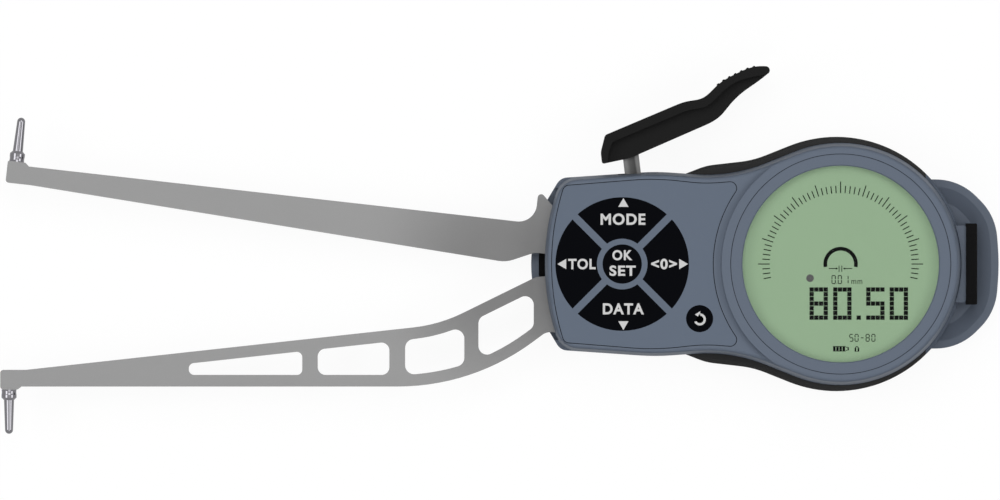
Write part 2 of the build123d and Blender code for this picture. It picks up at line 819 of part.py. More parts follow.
with BuildPart() as lcd_frame:
    with BuildSketch(Plane.XY.offset(deck_level - carrier_flange)):
        with Locations((display_x, 0)):
            Circle(display_seat_radius)
        with Locations(*round_screw_places):
            Circle(housing_boss_radius + window_gap, mode=Mode.SUBTRACT)
    extrude(amount=carrier_flange)
    with BuildSketch(Plane.XY.offset(deck_level)):
        with Locations((display_x, 0)):
            Circle(carrier_radius)
    extrude(amount=lcd_level + lcd_thickness - deck_level)
    with BuildSketch(Plane.XY.offset(lcd_level)):
        with Locations((display_x, 0)):
            Circle(lcd_radius + seat)
    extrude(amount=ring_top, mode=Mode.SUBTRACT)
    with BuildSketch(Plane.XY.offset(deck_level - carrier_flange)):
        with Locations((display_x, 0)):
            Circle(leg_reach - leg_radius)
    extrude(amount=ring_top, mode=Mode.SUBTRACT)
    with BuildSketch(Plane.XY.offset(main_board_level + board_thickness)):
        with Locations(*leg_places):
            Circle(leg_radius)
    extrude(until=Until.NEXT)
    with BuildSketch(Plane.XY.offset(main_board_level + board_thickness)):
        with Locations(*leg_places):
            Circle(small_screw_radius + seat)
    extrude(amount=small_thread_length, mode=Mode.SUBTRACT)
lcd_frame.part.label = "lcd_frame"
export_step(lcd_frame.part, "parts/lcd_frame.step")

with BuildPart() as main_board:
    with BuildSketch(Plane.XY.offset(main_board_level)):
        with Locations((display_x, 0)):
            Circle(main_board_radius)
        with Locations(*leg_places):
            Circle(small_screw_radius + window_gap, mode=Mode.SUBTRACT)
    extrude(amount=board_thickness)
    with BuildSketch(Plane.XY.offset(main_board_level)):
        with Locations((display_x, 0)):
            with GridLocations(chip_pitch, chip_pitch, 2, 2):
                Rectangle(chip_size, chip_size)
    extrude(amount=-chip_height)
main_board.part.label = "main_board"
export_step(main_board.part, "parts/main_board.step")

# Keypad: front plate with its windows, six keys, their domes and the board
with BuildPart() as keypad_foil:
    with BuildSketch(Plane.XY.offset(foil_level)):
        add(foil_shape)
        for window, stem in keys.values():
            add(window, mode=Mode.SUBTRACT)
    extrude(amount=foil_thickness)
keypad_foil.part.label = "keypad_foil"
export_step(keypad_foil.part, "parts/keypad_foil.step")

for name, (window, stem) in keys.items():
    with BuildPart() as key:
        with BuildSketch(Plane.XY.offset(foil_level)):
            offset(window, amount=-window_gap)
        extrude(amount=foil_thickness)
        with BuildSketch(Plane.XY.offset(flange_level)):
            offset(window, amount=key_lip)
        extrude(amount=key_flange)
        with BuildSketch(Plane.XY.offset(stem_level)):
            with Locations(stem):
                Circle(key_stem_radius)
        extrude(amount=flange_level - stem_level)
    key.part.label = name
    export_step(key.part, f"parts/{name}.step")

with BuildPart() as key_domes:
    with Locations(*[(x, y, dome_level) for x, y in stem_places]):
        Cone(dome_radius, dome_top_radius, dome_height, align=lower)
key_domes.part.label = "key_domes"
export_step(key_domes.part, "parts/key_domes.step")

with BuildPart() as keypad_board:
    with BuildSketch(Plane.XY.offset(keypad_board_level)):
        with Locations(((keypad_board_left + keypad_board_right) / 2, 0)):
            RectangleRounded(keypad_board_right - keypad_board_left, keypad_board_width, foil_corner)
        with Locations(*side_screw_places):
            Circle(housing_boss_radius + boss_gap, mode=Mode.SUBTRACT)
        with Locations(*pillar_places):
            Circle(small_screw_radius + window_gap, mode=Mode.SUBTRACT)
    extrude(amount=board_thickness)
keypad_board.part.label = "keypad_board"
export_step(keypad_board.part, "parts/keypad_board.step")

# Small screws that hold both boards
with BuildPart() as board_screws:
    keypad_screws = [(x, y, keypad_board_level) for x, y in pillar_places]
    main_screws = [(x, y, main_board_level) for x, y in leg_places]
    with Locations(*keypad_screws, *main_screws):
        Cylinder(small_screw_radius, board_thickness + small_thread_length, align=lower)
        Cylinder(small_head_radius, small_head_height, align=upper)
board_screws.part.label = "board_screws"
export_step(board_screws.part, "parts/board_screws.step")

# Measuring frame: the metal plate that both arms and both pivots stand on
with BuildPart() as measuring_frame:
    with BuildSketch(Plane.XY.offset(frame_floor)):
        with Locations((frame_left + frame_length / 2, 0)):
            RectangleRounded(frame_length, frame_width, frame_corner)
        with Locations(*side_screw_places):
            Circle(housing_boss_radius + boss_gap, mode=Mode.SUBTRACT)
    extrude(amount=frame_thickness)
    with BuildSketch(Plane.XY.offset(frame_level)):
        with Locations(arm_pad_centre):
            RectangleRounded(arm_pad_length, arm_pad_width, foil_corner)
    extrude(amount=thrust_gap)
    with BuildSketch(Plane.XY.offset(frame_floor)):
        Circle(arm_shaft_radius + seat)
        with Locations((lever_pivot_x, lever_pivot_y)):
            Circle(lever_shaft_radius + seat)
        with Locations(*arm_screw_places):
            Circle(small_screw_radius + seat)
    extrude(amount=frame_thickness + thrust_gap, mode=Mode.SUBTRACT)
    with Locations(*[(x, y, frame_level) for x, y in frame_screw_places]):
        CounterSinkHole(small_screw_radius + seat, small_head_radius + seat, frame_thickness)
measuring_frame.part.label = "measuring_frame"
export_step(measuring_frame.part, "parts/measuring_frame.step")

with BuildPart() as frame_screws:
    with Locations(*[(x, y, frame_level) for x, y in frame_screw_places]):
        Cone(small_screw_radius, small_head_radius, countersink_depth, align=upper)
        Cylinder(small_screw_radius, frame_thickness + frame_screw_grip - seat, align=upper)
frame_screws.part.label = "frame_screws"
export_step(frame_screws.part, "parts/frame_screws.step")


def across(plane):
    """Plane square to the Y axis of another plane, for a hole along that axis."""
    return Plane(plane.origin, x_dir=plane.x_dir, z_dir=plane.y_dir)


# Moving arm, in its straight frame: end block, long taper, hooked root, hub
moving_shape = polygon_outline(
    [
        (tip_x, moving_block_bottom, block_corner_radius),
        (arm_shoulder_x + 2 * block_shoulder, moving_block_bottom, 0),
        (root_bend_x, moving_root_bottom, root_bend_radius),
        (neck_x, neck_bottom, neck_radius),
        (-hub_radius + lug_radius, neck_bottom, 0),
        (0, hub_radius / 2, 0),
        (0, hub_radius, 0),
        (hook_slope_x, hub_radius, hook_slope_radius),
        (hook_x, hook_height, hook_tip_radius),
        (hook_x, moving_edge_top, hook_foot_radius),
        (arm_shoulder_x + block_shoulder, moving_edge_top, 0),
        (arm_shoulder_x, moving_pin_base, 0),
        (tip_x, moving_pin_base, block_edge_radius),
    ]
)
moving_pin_plane = arm_plane(arm_middle, -pin_reach, moving_pin_base)
with BuildPart() as movable_arm:
    with BuildSketch(arm_plane(arm_level)):
        add(moving_shape)
        Circle(hub_radius)
        with Locations((encoder_tab_reach / 2, 0)):
            Rectangle(encoder_tab_reach, encoder_tab_width)
    extrude(amount=arm_thickness)
    with BuildSketch(arm_plane(arm_level + sector_seat)):
        Circle(hub_radius + sector_clear + gear_module)
        with Locations((encoder_tab_reach, 0)):
            Rectangle(2 * encoder_tab_reach, 3 * encoder_tab_width)
    extrude(amount=arm_thickness, mode=Mode.SUBTRACT)
    with BuildSketch(arm_plane(arm_level)):
        Circle(arm_bush_radius + seat)
        with Locations(*sector_screw_places, *encoder_screw_places):
            Circle(small_screw_radius + seat)
    extrude(amount=sector_seat, mode=Mode.SUBTRACT)
    with BuildSketch(across(moving_pin_plane)):
        Circle(stub_radius + running)
    extrude(amount=-stub_length - seat, mode=Mode.SUBTRACT)
movable_arm.part.label = "movable_arm"
export_step(movable_arm.part, "parts/movable_arm.step")

# Fixed arm: end block, widening beam with four lightening windows, bent root under three screws
fixed_shape = polygon_outline(
    [
        (tip_x, fixed_block_top, block_corner_radius),
        (arm_shoulder_x + 2 * block_shoulder, fixed_block_top, 0),
        (inner_bend_x, inner_bend_y, inner_bend_radius),
        (lug_end_x, lug_end_y, lug_end_radius),
        (lug_root_x, lug_root_y, lug_radius),
        (lug_foot_x, arm_pad_top, lug_radius),
        (arm_root_end, arm_pad_top, arm_root_radius),
        (arm_root_end, arm_pad_bottom, arm_root_radius),
        (heel_x, heel_y, heel_radius),
        (outer_bend_x, fixed_edge_bottom, outer_bend_radius),
        (arm_shoulder_x + block_shoulder, fixed_edge_bottom, 0),
        (arm_shoulder_x, fixed_pin_base, 0),
        (tip_x, fixed_pin_base, block_corner_radius),
    ]
)
fixed_pin_plane = Plane((-pin_reach, fixed_pin_base, arm_middle), x_dir=(1, 0, 0), z_dir=(0, 0, -1))
with BuildPart() as fixed_arm:
    with BuildSketch(Plane.XY.offset(arm_level)):
        add(fixed_shape)
        with Locations(*arm_screw_places):
            Circle(small_screw_radius + seat, mode=Mode.SUBTRACT)
    extrude(amount=arm_thickness)
    for left, right, corner in arm_windows:
        with BuildSketch(Plane.XY.offset(arm_level)) as opening:
            offset(fixed_shape, amount=-rail)
            with Locations(((left + right) / 2, fixed_edge_bottom / 2)):
                Rectangle(right - left, 2 * abs(fixed_edge_bottom), mode=Mode.INTERSECT)
            ends = opening.vertices().group_by(Axis.X)
            fillet(ends[0] + ends[-1], corner)
        extrude(amount=arm_thickness, mode=Mode.SUBTRACT)
    with BuildSketch(across(fixed_pin_plane)):
        Circle(stub_radius + running)
    extrude(amount=-stub_length - seat, mode=Mode.SUBTRACT)
    with Locations(*[(x, y, arm_top) for x, y in arm_screw_places]):
        CounterSinkHole(small_screw_radius + seat, small_head_radius + seat, arm_thickness)
fixed_arm.part.label = "fixed_arm"
export_step(fixed_arm.part, "parts/fixed_arm.step")

with BuildPart() as fixed_arm_screws:
    with Locations(*[(x, y, arm_top) for x, y in arm_screw_places]):
        Cone(small_screw_radius, small_head_radius, countersink_depth, align=upper)
        Cylinder(small_screw_radius, arm_top - frame_floor, align=upper)
fixed_arm_screws.part.label = "fixed_arm_screws"
export_step(fixed_arm_screws.part, "parts/fixed_arm_screws.step")


def contact_pin(plane):
    """Turned contact pin: X of its plane is the radius, Y runs along the pin from the arm outwards."""
    with BuildPart() as pin:
        with BuildSketch(plane):
            with BuildLine():
                Polyline(
                    (0, -stub_length),
                    (stub_radius, -stub_length),
                    (stub_radius, 0),
                    (collar_radius, 0),
                )
                waist = Spline(
                    (collar_radius, 0),
                    (collar_radius - collar_dip, collar_length / 4),
                    (collar_radius, collar_length / 2),
                )
                Polyline(
                    waist @ 1,
                    (collar_radius, collar_length - collar_bevel),
                    (pin_base_radius, collar_length),
                    (pin_tip_radius, pin_length - pin_tip_radius),
                )
                ThreePointArc(
                    (pin_tip_radius, pin_length - pin_tip_radius),
                    (pin_tip_radius * cos(pi / 4), pin_length - pin_tip_radius * (1 - sin(pi / 4))),
                    (0, pin_length),
                )
                Line((0, pin_length), (0, -stub_length))
            make_face()
        revolve(axis=Axis(plane.origin, plane.y_dir))
    return pin


moving_contact_pin = contact_pin(moving_pin_plane)
moving_contact_pin.part.label = "moving_contact_pin"
export_step(moving_contact_pin.part, "parts/moving_contact_pin.step")

fixed_contact_pin = contact_pin(fixed_pin_plane)
fixed_contact_pin.part.label = "fixed_contact_pin"
export_step(fixed_contact_pin.part, "parts/fixed_contact_pin.step")


def pivot_shaft(radius, x, y):
    """Shaft with a flange below the frame and a groove for its retaining ring."""
    with BuildPart() as shaft:
        with Locations((x, y, frame_floor)):
            Cylinder(radius + shaft_flange_reach, shaft_flange, align=upper)
            Cylinder(radius, ring_groove_level + ring_height + shaft_end - frame_floor, align=lower)
        with BuildSketch(Plane.XY.offset(ring_groove_level)):
            with Locations((x, y)):
                Circle(radius + shaft_flange_reach)
                Circle(radius - ring_groove_depth, mode=Mode.SUBTRACT)
        extrude(amount=ring_height + seat, mode=Mode.SUBTRACT)
    return shaft


def bearing_bush(radius, x, y):
    """Flanged bush with running clearance on its shaft."""
    with BuildPart() as bush:
        with Locations((x, y, frame_level + seat)):
            Cylinder(radius + running + bush_wall, arm_top + bush_proud - frame_level - seat, align=lower)
            Cylinder(radius + running + bush_wall + bush_flange_reach, thrust_gap - seat, align=lower)
            Cylinder(radius + running, 2 * arm_thickness, align=lower, mode=Mode.SUBTRACT)
    return bush


def retaining_ring(radius, x, y):
    """Open ring in the groove of a shaft."""
    with BuildPart() as ring:
        with BuildSketch(Plane.XY.offset(ring_groove_level)):
            with Locations((x, y)):
                Circle(radius + ring_reach)
                Circle(radius - ring_groove_depth + seat, mode=Mode.SUBTRACT)
            with Locations((x + radius, y)):
                Rectangle(2 * radius, radius, mode=Mode.SUBTRACT)
        extrude(amount=ring_height)
    return ring


pivots = {"arm": (arm_shaft_radius, 0, 0), "lever": (lever_shaft_radius, lever_pivot_x, lever_pivot_y)}
for name, (radius, x, y) in pivots.items():
    shaft = pivot_shaft(radius, x, y)
    shaft.part.label = f"{name}_pivot_shaft"
    export_step(shaft.part, f"parts/{name}_pivot_shaft.step")
    bush = bearing_bush(radius, x, y)
    bush.part.label = f"{name}_bearing_bush"
    export_step(bush.part, f"parts/{name}_bearing_bush.step")
    ring = retaining_ring(radius, x, y)
    ring.part.label = f"{name}_retaining_ring"
    export_step(ring.part, f"parts/{name}_retaining_ring.step")


def involute(angle):
    """Involute of an angle in radians."""
    return tan(angle) - angle


def gear_sector(teeth, cut, first, bore):
    """Root disc with a bore and some involute teeth, the first at an angle in degrees, the rest after it."""
    pitch_radius = gear_module * teeth / 2
    base_radius = pitch_radius * cos(radians(pressure_angle))
    root_radius = pitch_radius - dedendum * gear_module
    outer_radius = pitch_radius + gear_module
    half_pitch_angle = pi / (2 * teeth) - backlash / (4 * pitch_radius)
    start_radius = max(base_radius, root_radius)
    flank = []
    for step in range(4):
        r = start_radius + (outer_radius - start_radius) * step / 3
        turn = half_pitch_angle + involute(radians(pressure_angle)) - involute(acos(min(1, base_radius / r)))
        flank.append((r, turn))
    foot = (root_radius - backlash, flank[0][1])
    profile = [foot] + flank
    with BuildSketch() as sector:
        Circle(root_radius)
        for index in range(cut):
            middle = radians(first + index * 360 / teeth)
            right = [(r * cos(middle - t), r * sin(middle - t)) for r, t in profile]
            left = [(r * cos(middle + t), r * sin(middle + t)) for r, t in profile]
            Polygon(*right, *reversed(left), align=None)
        Circle(bore, mode=Mode.SUBTRACT)
    return sector.sketch


# Toothed sector on the moving arm: a tooth lies on the line of centres when the arms are open
arm_pitch_angle = 360 / arm_teeth
arm_first_tooth = lever_pivot_angle - 3 * arm_pitch_angle
with BuildPart() as arm_gear_sector:
    with BuildSketch(Plane.XY.offset(arm_level + sector_seat)):
        add(gear_sector(arm_teeth, arm_sector_teeth, arm_first_tooth, arm_bush_radius + seat))
        with Locations(*[turned(-open_angle, x, y) for x, y in sector_screw_places]):
            Circle(small_screw_radius + seat, mode=Mode.SUBTRACT)
    extrude(amount=sector_seat)
arm_gear_sector.part.label = "arm_gear_sector"
export_step(arm_gear_sector.part, "parts/arm_gear_sector.step")

with BuildPart() as sector_screws:
    with Locations(*[(*turned(-open_angle, x, y), arm_top - seat) for x, y in sector_screw_places]):
        Cylinder(small_screw_radius, arm_thickness - 2 * seat, align=upper)
    encoder_top = encoder_level + encoder_thickness
    with Locations(*[(*turned(-open_angle, x, y), encoder_top) for x, y in encoder_screw_places]):
        Cylinder(small_screw_radius, encoder_thickness + sector_seat - seat, align=upper)
        Cylinder(small_head_radius, small_head_height, align=lower)
sector_screws.part.label = "sector_screws"
export_step(sector_screws.part, "parts/sector_screws.step")

# Lever shank: hub with mating teeth, a gap on the line of centres, and the stem up to the handle
lever_pitch_angle = 360 / lever_teeth
lever_first_tooth = lever_pivot_angle + 180 - 1.5 * lever_pitch_angle
shank_axis = Plane(
    (lever_pivot_x, lever_pivot_y, arm_middle),
    x_dir=(cos(radians(90 + shank_lean)), sin(radians(90 + shank_lean)), 0),
    z_dir=(0, 0, 1),
)
with BuildPart() as lever_shank:
    with BuildSketch(Plane((lever_pivot_x, lever_pivot_y, arm_level))):
        Circle(hub_outer)
        Circle(lever_bush_radius + seat, mode=Mode.SUBTRACT)
    extrude(amount=arm_thickness)
    with BuildSketch(Plane((lever_pivot_x, lever_pivot_y, arm_level + sector_seat))):
        add(gear_sector(lever_teeth, lever_sector_teeth, lever_first_tooth, lever_bush_radius + seat))
    extrude(amount=sector_seat)
    with BuildSketch(shank_axis.offset(-shank_depth / 2)):
        with Locations((hub_outer - bush_wall, 0)):
            Rectangle(shank_length - hub_outer + bush_wall, shank_width, align=(Align.MIN, Align.CENTER))
        with Locations((lever_screw_reach, 0)):
            Circle(small_screw_radius + seat, mode=Mode.SUBTRACT)
    extrude(amount=shank_depth)
lever_shank.part.label = "lever_shank"
export_step(lever_shank.part, "parts/lever_shank.step")

# Finger lever: finger pad along the top edge, narrower web below it, ridges near the raised tip
with BuildPart() as lever_handle:
    with BuildSketch(lever_plane(arm_middle - web_depth / 2)):
        with BuildLine():
            heel = FilletPolyline(*heel_points, radius=heel_radii)
            upper_curve = Spline(heel @ 1, *pad_points, tangents=[(1, 0), (1, -0.5)])
            nose = ThreePointArc(upper_curve @ 1, nose_point, web_points[-1])
            lower_curve = Spline(heel @ 0, *web_points, tangents=[(1, 0), (1, 0.3)])
        make_face()
    extrude(amount=web_depth)
    with BuildSketch(lever_plane(arm_middle - lever_depth / 2)):
        with BuildLine():
            rim_heel = FilletPolyline(*rim_points, *heel_points[2:], radius=rim_radii)
            rim_top = Spline(heel @ 1, *pad_points, tangents=[(1, 0), (1, -0.5)])
            rim_nose = ThreePointArc(upper_curve @ 1, nose_point, web_points[-1])
            rim_step = Spline(rim_heel @ 0, *step_points, web_points[-1], tangents=[(1, 0), (1, -0.2)])
        make_face()
    extrude(amount=lever_depth)
    with BuildSketch(lever_plane(arm_middle - lever_depth / 2)):
        for index in range(ridge_count):
            share = index / (ridge_count - 1)
            spot = upper_curve @ (ridge_start + (ridge_end - ridge_start) * share)
            with Locations((spot.X, spot.Y - ridge_sink)):
                Circle(ridge_radius)
    extrude(amount=lever_depth)
    socket = shank_axis.offset(-shank_depth / 2 - seat)
    with BuildSketch(socket):
        with Locations((hub_outer, 0)):
            socket_length = shank_length - hub_outer + seat
            Rectangle(socket_length, shank_width + 2 * seat, align=(Align.MIN, Align.CENTER))
    extrude(amount=shank_depth + 2 * seat, mode=Mode.SUBTRACT)
    with BuildSketch(Plane(shank_axis.from_local_coords((lever_screw_reach, 0, -web_depth / 2)))):
        Circle(small_screw_radius + seat)
    extrude(amount=lever_screw_length + seat, mode=Mode.SUBTRACT)
lever_handle.part.label = "lever_handle"
export_step(lever_handle.part, "parts/lever_handle.step")

with BuildPart(Plane(shank_axis.from_local_coords((lever_screw_reach, 0, -web_depth / 2)))) as lever_screw:
    Cylinder(small_screw_radius, lever_screw_length, align=lower)
lever_screw.part.label = "lever_screw"
export_step(lever_screw.part, "parts/lever_screw.step")

# Angle encoder: a thin segment on the moving arm that runs in the slot of the sensor head
with BuildPart() as encoder_segment:
    with BuildSketch(arm_plane(encoder_level)):
        with BuildLine():
            edge = turned(encoder_half_angle, encoder_outer, 0)
            foot = turned(encoder_half_angle, encoder_inner, 0)
            Line(foot, edge)
            ThreePointArc(edge, (encoder_outer, 0), (edge[0], -edge[1]))
            Line((edge[0], -edge[1]), (foot[0], -foot[1]))
            ThreePointArc((foot[0], -foot[1]), (encoder_inner, 0), foot)
        make_face()
        with Locations(*encoder_screw_places):
            Circle(small_screw_radius + seat, mode=Mode.SUBTRACT)
    extrude(amount=encoder_thickness)
encoder_segment.part.label = "encoder_segment"
export_step(encoder_segment.part, "parts/encoder_segment.step")

with BuildPart() as sensor_head:
    with Locations((sensor_x, 0, frame_level)):
        Box(sensor_length, sensor_width, arm_top - frame_level, align=start_low)
    with Locations((sensor_x, 0, encoder_level - encoder_gap)):
        slot_height = encoder_thickness + 2 * encoder_gap
        Box(sensor_cover + sensor_spare, sensor_width, slot_height, align=start_low, mode=Mode.SUBTRACT)
    fillet(sensor_head.edges().filter_by(Axis.Z).sort_by(Axis.X)[-2:], sensor_round)
sensor_head.part.label = "sensor_head"
export_step(sensor_head.part, "parts/sensor_head.step")

# Return spring: open coil of square wire round the arm's shaft
with BuildPart() as return_spring:
    with BuildLine(Plane.XY.offset(spring_level)):
        coil = Helix(spring_pitch, spring_pitch * spring_turns, spring_radius)
    with BuildSketch(Plane(origin=coil @ 0, z_dir=coil % 0)):
        Rectangle(spring_wire, spring_wire)
    sweep(path=coil, is_frenet=True)
return_spring.part.label = "return_spring"
export_step(return_spring.part, "parts/return_spring.step")

# Seals of the end slot and of the shank's slot
with BuildPart() as arm_slot_seal:
    with BuildSketch(Plane.XY.offset(trough_level)):
        with Locations((trough_x + seat, 0)):
            Rectangle(trough_width - 2 * seat, 2 * (seal_half_width - seat), align=(Align.MIN, Align.CENTER))
    extrude(amount=lip_level - trough_level - seat)
    fillet(arm_slot_seal.faces().sort_by(Axis.Z)[-1].edges().filter_by(Axis.Y), seal_round)
arm_slot_seal.part.label = "arm_slot_seal"
export_step(arm_slot_seal.part, "parts/arm_slot_seal.step")

with BuildPart() as lever_slot_seal:
    with BuildSketch(Plane.XZ.offset(-seal_outer_y)):
        with Locations((shank_slot_x, (seal_floor + seal_top) / 2)):
            Rectangle(seal_width - 2 * seat, seal_top - seal_floor - 2 * seat)
        with Locations((shank_slot_x, arm_middle)):
            Rectangle(shank_slot_width, shank_depth + 2 * slot_gap, mode=Mode.SUBTRACT)
    extrude(amount=seal_depth)
lever_slot_seal.part.label = "lever_slot_seal"
export_step(lever_slot_seal.part, "parts/lever_slot_seal.step")

def cell_plane(side, reach):
    """Plane across one of the two cells, at a distance from their middle towards the nub of that cell."""
    middle = (display_x + side * cell_pitch / 2, side * reach, cell_level)
    return Plane(middle, x_dir=(1, 0, 0), z_dir=(0, side, 0))


# Two cells lie side by side behind the display, with leaf contacts at their ends
with BuildPart() as batteries:
    for side in (-1, 1):
        with BuildSketch(cell_plane(side, 0)):
            Circle(cell_radius)
        extrude(amount=cell_length / 2 - cell_nub, both=True)
        with BuildSketch(cell_plane(side, cell_length / 2 - cell_nub)):
            Circle(cell_nub_radius)
        extrude(amount=cell_nub)
batteries.part.label = "batteries"
export_step(batteries.part, "parts/batteries.step")

with BuildPart() as battery_contacts:
    for side in (-1, 1):
        with Locations((display_x, side * (cell_box_length / 2 - contact_thickness - seat), cell_level)):
            outwards = (Align.CENTER, Align.MIN if side > 0 else Align.MAX, Align.CENTER)
            Box(cell_box_width - 2 * contact_space, contact_thickness, 2 * contact_reach, align=outwards)
battery_contacts.part.label = "battery_contacts"
export_step(battery_contacts.part, "parts/battery_contacts.step")

with BuildPart() as battery_cover:
    with BuildSketch():
        with Locations((display_x, 0)):
            RectangleRounded(cover_length, cover_width, cover_corner)
            RectangleRounded(
                cover_length - 2 * cover_rim,
                cover_width - 2 * cover_rim,
                cover_corner - cover_rim,
                mode=Mode.SUBTRACT,
            )
        with Locations(*cover_screw_places):
            Circle(cover_screw_pad)
    extrude(amount=cover_thickness)
    with BuildSketch(Plane.XY.offset(cover_sink)):
        with Locations((display_x, 0)):
            RectangleRounded(cover_length - 2 * seat, cover_width - 2 * seat, cover_corner)
    extrude(amount=cover_thickness - cover_sink)
    with Locations(*[(x, y, 0) for x, y in cover_screw_places]):
        Cylinder(small_screw_radius + seat, cover_thickness, align=lower, mode=Mode.SUBTRACT)
        Cylinder(small_head_radius + seat, small_head_height, align=lower, mode=Mode.SUBTRACT)
battery_cover.part.label = "battery_cover"
export_step(battery_cover.part, "parts/battery_cover.step")

with BuildPart() as battery_cover_seal:
    with BuildSketch(Plane.XY.offset(cover_thickness)):
        with Locations((display_x, 0)):
            seal_breadth = cover_width - 2 * cover_seal_inset
            RectangleRounded(cover_length - 2 * cover_seal_inset, seal_breadth, cover_corner)
            Rectangle(cell_box_width, cell_box_length, mode=Mode.SUBTRACT)
        with Locations(*cover_screw_places):
            Circle(small_screw_radius + window_gap, mode=Mode.SUBTRACT)
    extrude(amount=seal_thickness)
battery_cover_seal.part.label = "battery_cover_seal"
export_step(battery_cover_seal.part, "parts/battery_cover_seal.step")

with BuildPart() as battery_cover_screws:
    with Locations(*[(x, y, 0) for x, y in cover_screw_places]):
        Cylinder(small_head_radius, small_head_height - seat, align=lower)
        Cylinder(small_screw_radius, cover_screw_length - seat, align=lower)
battery_cover_screws.part.label = "battery_cover_screws"
export_step(battery_cover_screws.part, "parts/battery_cover_screws.step")

with BuildPart() as housing_screws:
    with Locations(*[(x, y, housing_head_level) for x, y in housing_screw_places]):
        Cylinder(housing_head_radius, housing_head_height, align=lower)
        Cylinder(housing_screw_radius, split_level + housing_thread_length - housing_head_level, align=lower)
housing_screws.part.label = "housing_screws"
export_step(housing_screws.part, "parts/housing_screws.step")


def sloped_block(front, length, half_width, floor, top):
    """Block along X with its front at a place, its top sloping down at both ends of its width."""
    with BuildPart() as block:
        with BuildSketch(Plane.YZ.offset(front - length)):
            crest = (half_width - end_slope_length, top)
            half = [(half_width, floor), (half_width, top - end_slope_drop), crest]
            Polygon(*half, *[(-y, z) for y, z in reversed(half)], align=None)
        extrude(amount=length)
    return block.part


# Data port: block against the display end, connector inside the wall, rubber cap that pulls off
with BuildPart() as data_port_block:
    block_length = block_front - display_x
    add(sloped_block(block_front, block_length, block_half_width, tail_height - tail_scoop, block_height))
    fillet(data_port_block.edges().filter_by(Axis.Z).sort_by(Axis.X)[-2:], block_round)
    with Locations((display_x, 0, 0)):
        Cylinder(display_housing_radius + seat, 2 * ring_top, mode=Mode.SUBTRACT)
    with Locations((block_front, 0, port_floor)):
        Box(block_length, 2 * port_half_width, port_height, align=end_low, mode=Mode.SUBTRACT)
data_port_block.part.label = "data_port_block"
export_step(data_port_block.part, "parts/data_port_block.step")

with BuildPart() as data_connector:
    with Locations((block_front - plug_length - window_gap, 0, port_floor + seat)):
        Box(connector_length, 2 * (port_half_width - seat), port_height - 2 * seat, align=end_low)
data_connector.part.label = "data_connector"
export_step(data_connector.part, "parts/data_connector.step")

with BuildPart() as port_cap:
    cap_front = block_front + seat + cap_thickness
    add(sloped_block(cap_front, cap_thickness, cap_half_width, cap_floor, cap_floor + cap_height))
    fillet(port_cap.faces().sort_by(Axis.X)[-1].edges(), cap_round)
    with Locations((block_front + seat, 0, port_floor + window_gap)):
        Box(plug_length, 2 * (port_half_width - window_gap), port_height - 2 * window_gap, align=end_low)
port_cap.part.label = "port_cap"
export_step(port_cap.part, "parts/port_cap.step")
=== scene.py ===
import json
from math import cos, pi, radians, sin

import bmesh
import bpy
from mathutils import Matrix, Vector


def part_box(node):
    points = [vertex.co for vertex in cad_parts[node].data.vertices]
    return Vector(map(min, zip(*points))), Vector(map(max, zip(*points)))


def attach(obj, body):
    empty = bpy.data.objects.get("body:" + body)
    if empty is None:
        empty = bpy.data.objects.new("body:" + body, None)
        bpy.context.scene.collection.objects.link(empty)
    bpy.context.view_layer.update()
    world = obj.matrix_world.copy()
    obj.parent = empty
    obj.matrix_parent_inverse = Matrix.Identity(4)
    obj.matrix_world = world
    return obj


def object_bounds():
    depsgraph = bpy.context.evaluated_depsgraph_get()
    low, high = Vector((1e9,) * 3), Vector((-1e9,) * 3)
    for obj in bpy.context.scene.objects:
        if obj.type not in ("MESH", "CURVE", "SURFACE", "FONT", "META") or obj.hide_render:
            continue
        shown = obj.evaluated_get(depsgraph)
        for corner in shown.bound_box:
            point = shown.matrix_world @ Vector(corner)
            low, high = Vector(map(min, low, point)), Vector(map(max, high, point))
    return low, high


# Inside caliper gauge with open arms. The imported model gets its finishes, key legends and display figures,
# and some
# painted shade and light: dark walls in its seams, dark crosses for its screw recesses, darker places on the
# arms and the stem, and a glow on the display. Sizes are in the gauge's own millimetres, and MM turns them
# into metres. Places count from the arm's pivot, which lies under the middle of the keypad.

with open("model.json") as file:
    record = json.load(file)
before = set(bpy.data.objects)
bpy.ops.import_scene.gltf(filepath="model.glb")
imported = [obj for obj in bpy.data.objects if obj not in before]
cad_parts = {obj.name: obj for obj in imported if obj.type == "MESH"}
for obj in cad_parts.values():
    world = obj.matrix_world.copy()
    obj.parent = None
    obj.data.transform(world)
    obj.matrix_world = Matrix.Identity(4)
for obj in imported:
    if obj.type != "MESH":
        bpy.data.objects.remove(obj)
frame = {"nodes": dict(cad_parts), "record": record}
cad_low, cad_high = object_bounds()
nodes = frame["nodes"]
bodies = frame["record"]["behaviour"]["bodies"]
MM = 0.001
key_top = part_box("key_mode")[1].z / MM
lcd_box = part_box("lcd_panel")
lcd_top = lcd_box[1].z / MM
display_x = (lcd_box[0].x + lcd_box[1].x) / 2 / MM


def linear(red, green, blue):
    """Linear colour of an 8-bit display colour."""
    def one(value):
        share = value / 255
        return share / 12.92 if share <= 0.04045 else ((share + 0.055) / 1.055) ** 2.4
    return (one(red), one(green), one(blue), 1.0)


# Shader groups

broad_scale = 45.0
fine_detail = 3.0


def sockets(tree, inputs, outputs):
    """Named inputs with their values and named outputs of a shader group."""
    for name, kind, value in inputs:
        socket = tree.interface.new_socket(name=name, in_out="INPUT", socket_type="NodeSocket" + kind)
        socket.default_value = value
    for name, kind in outputs:
        tree.interface.new_socket(name=name, in_out="OUTPUT", socket_type="NodeSocket" + kind)
    return tree.nodes.new("NodeGroupInput"), tree.nodes.new("NodeGroupOutput")


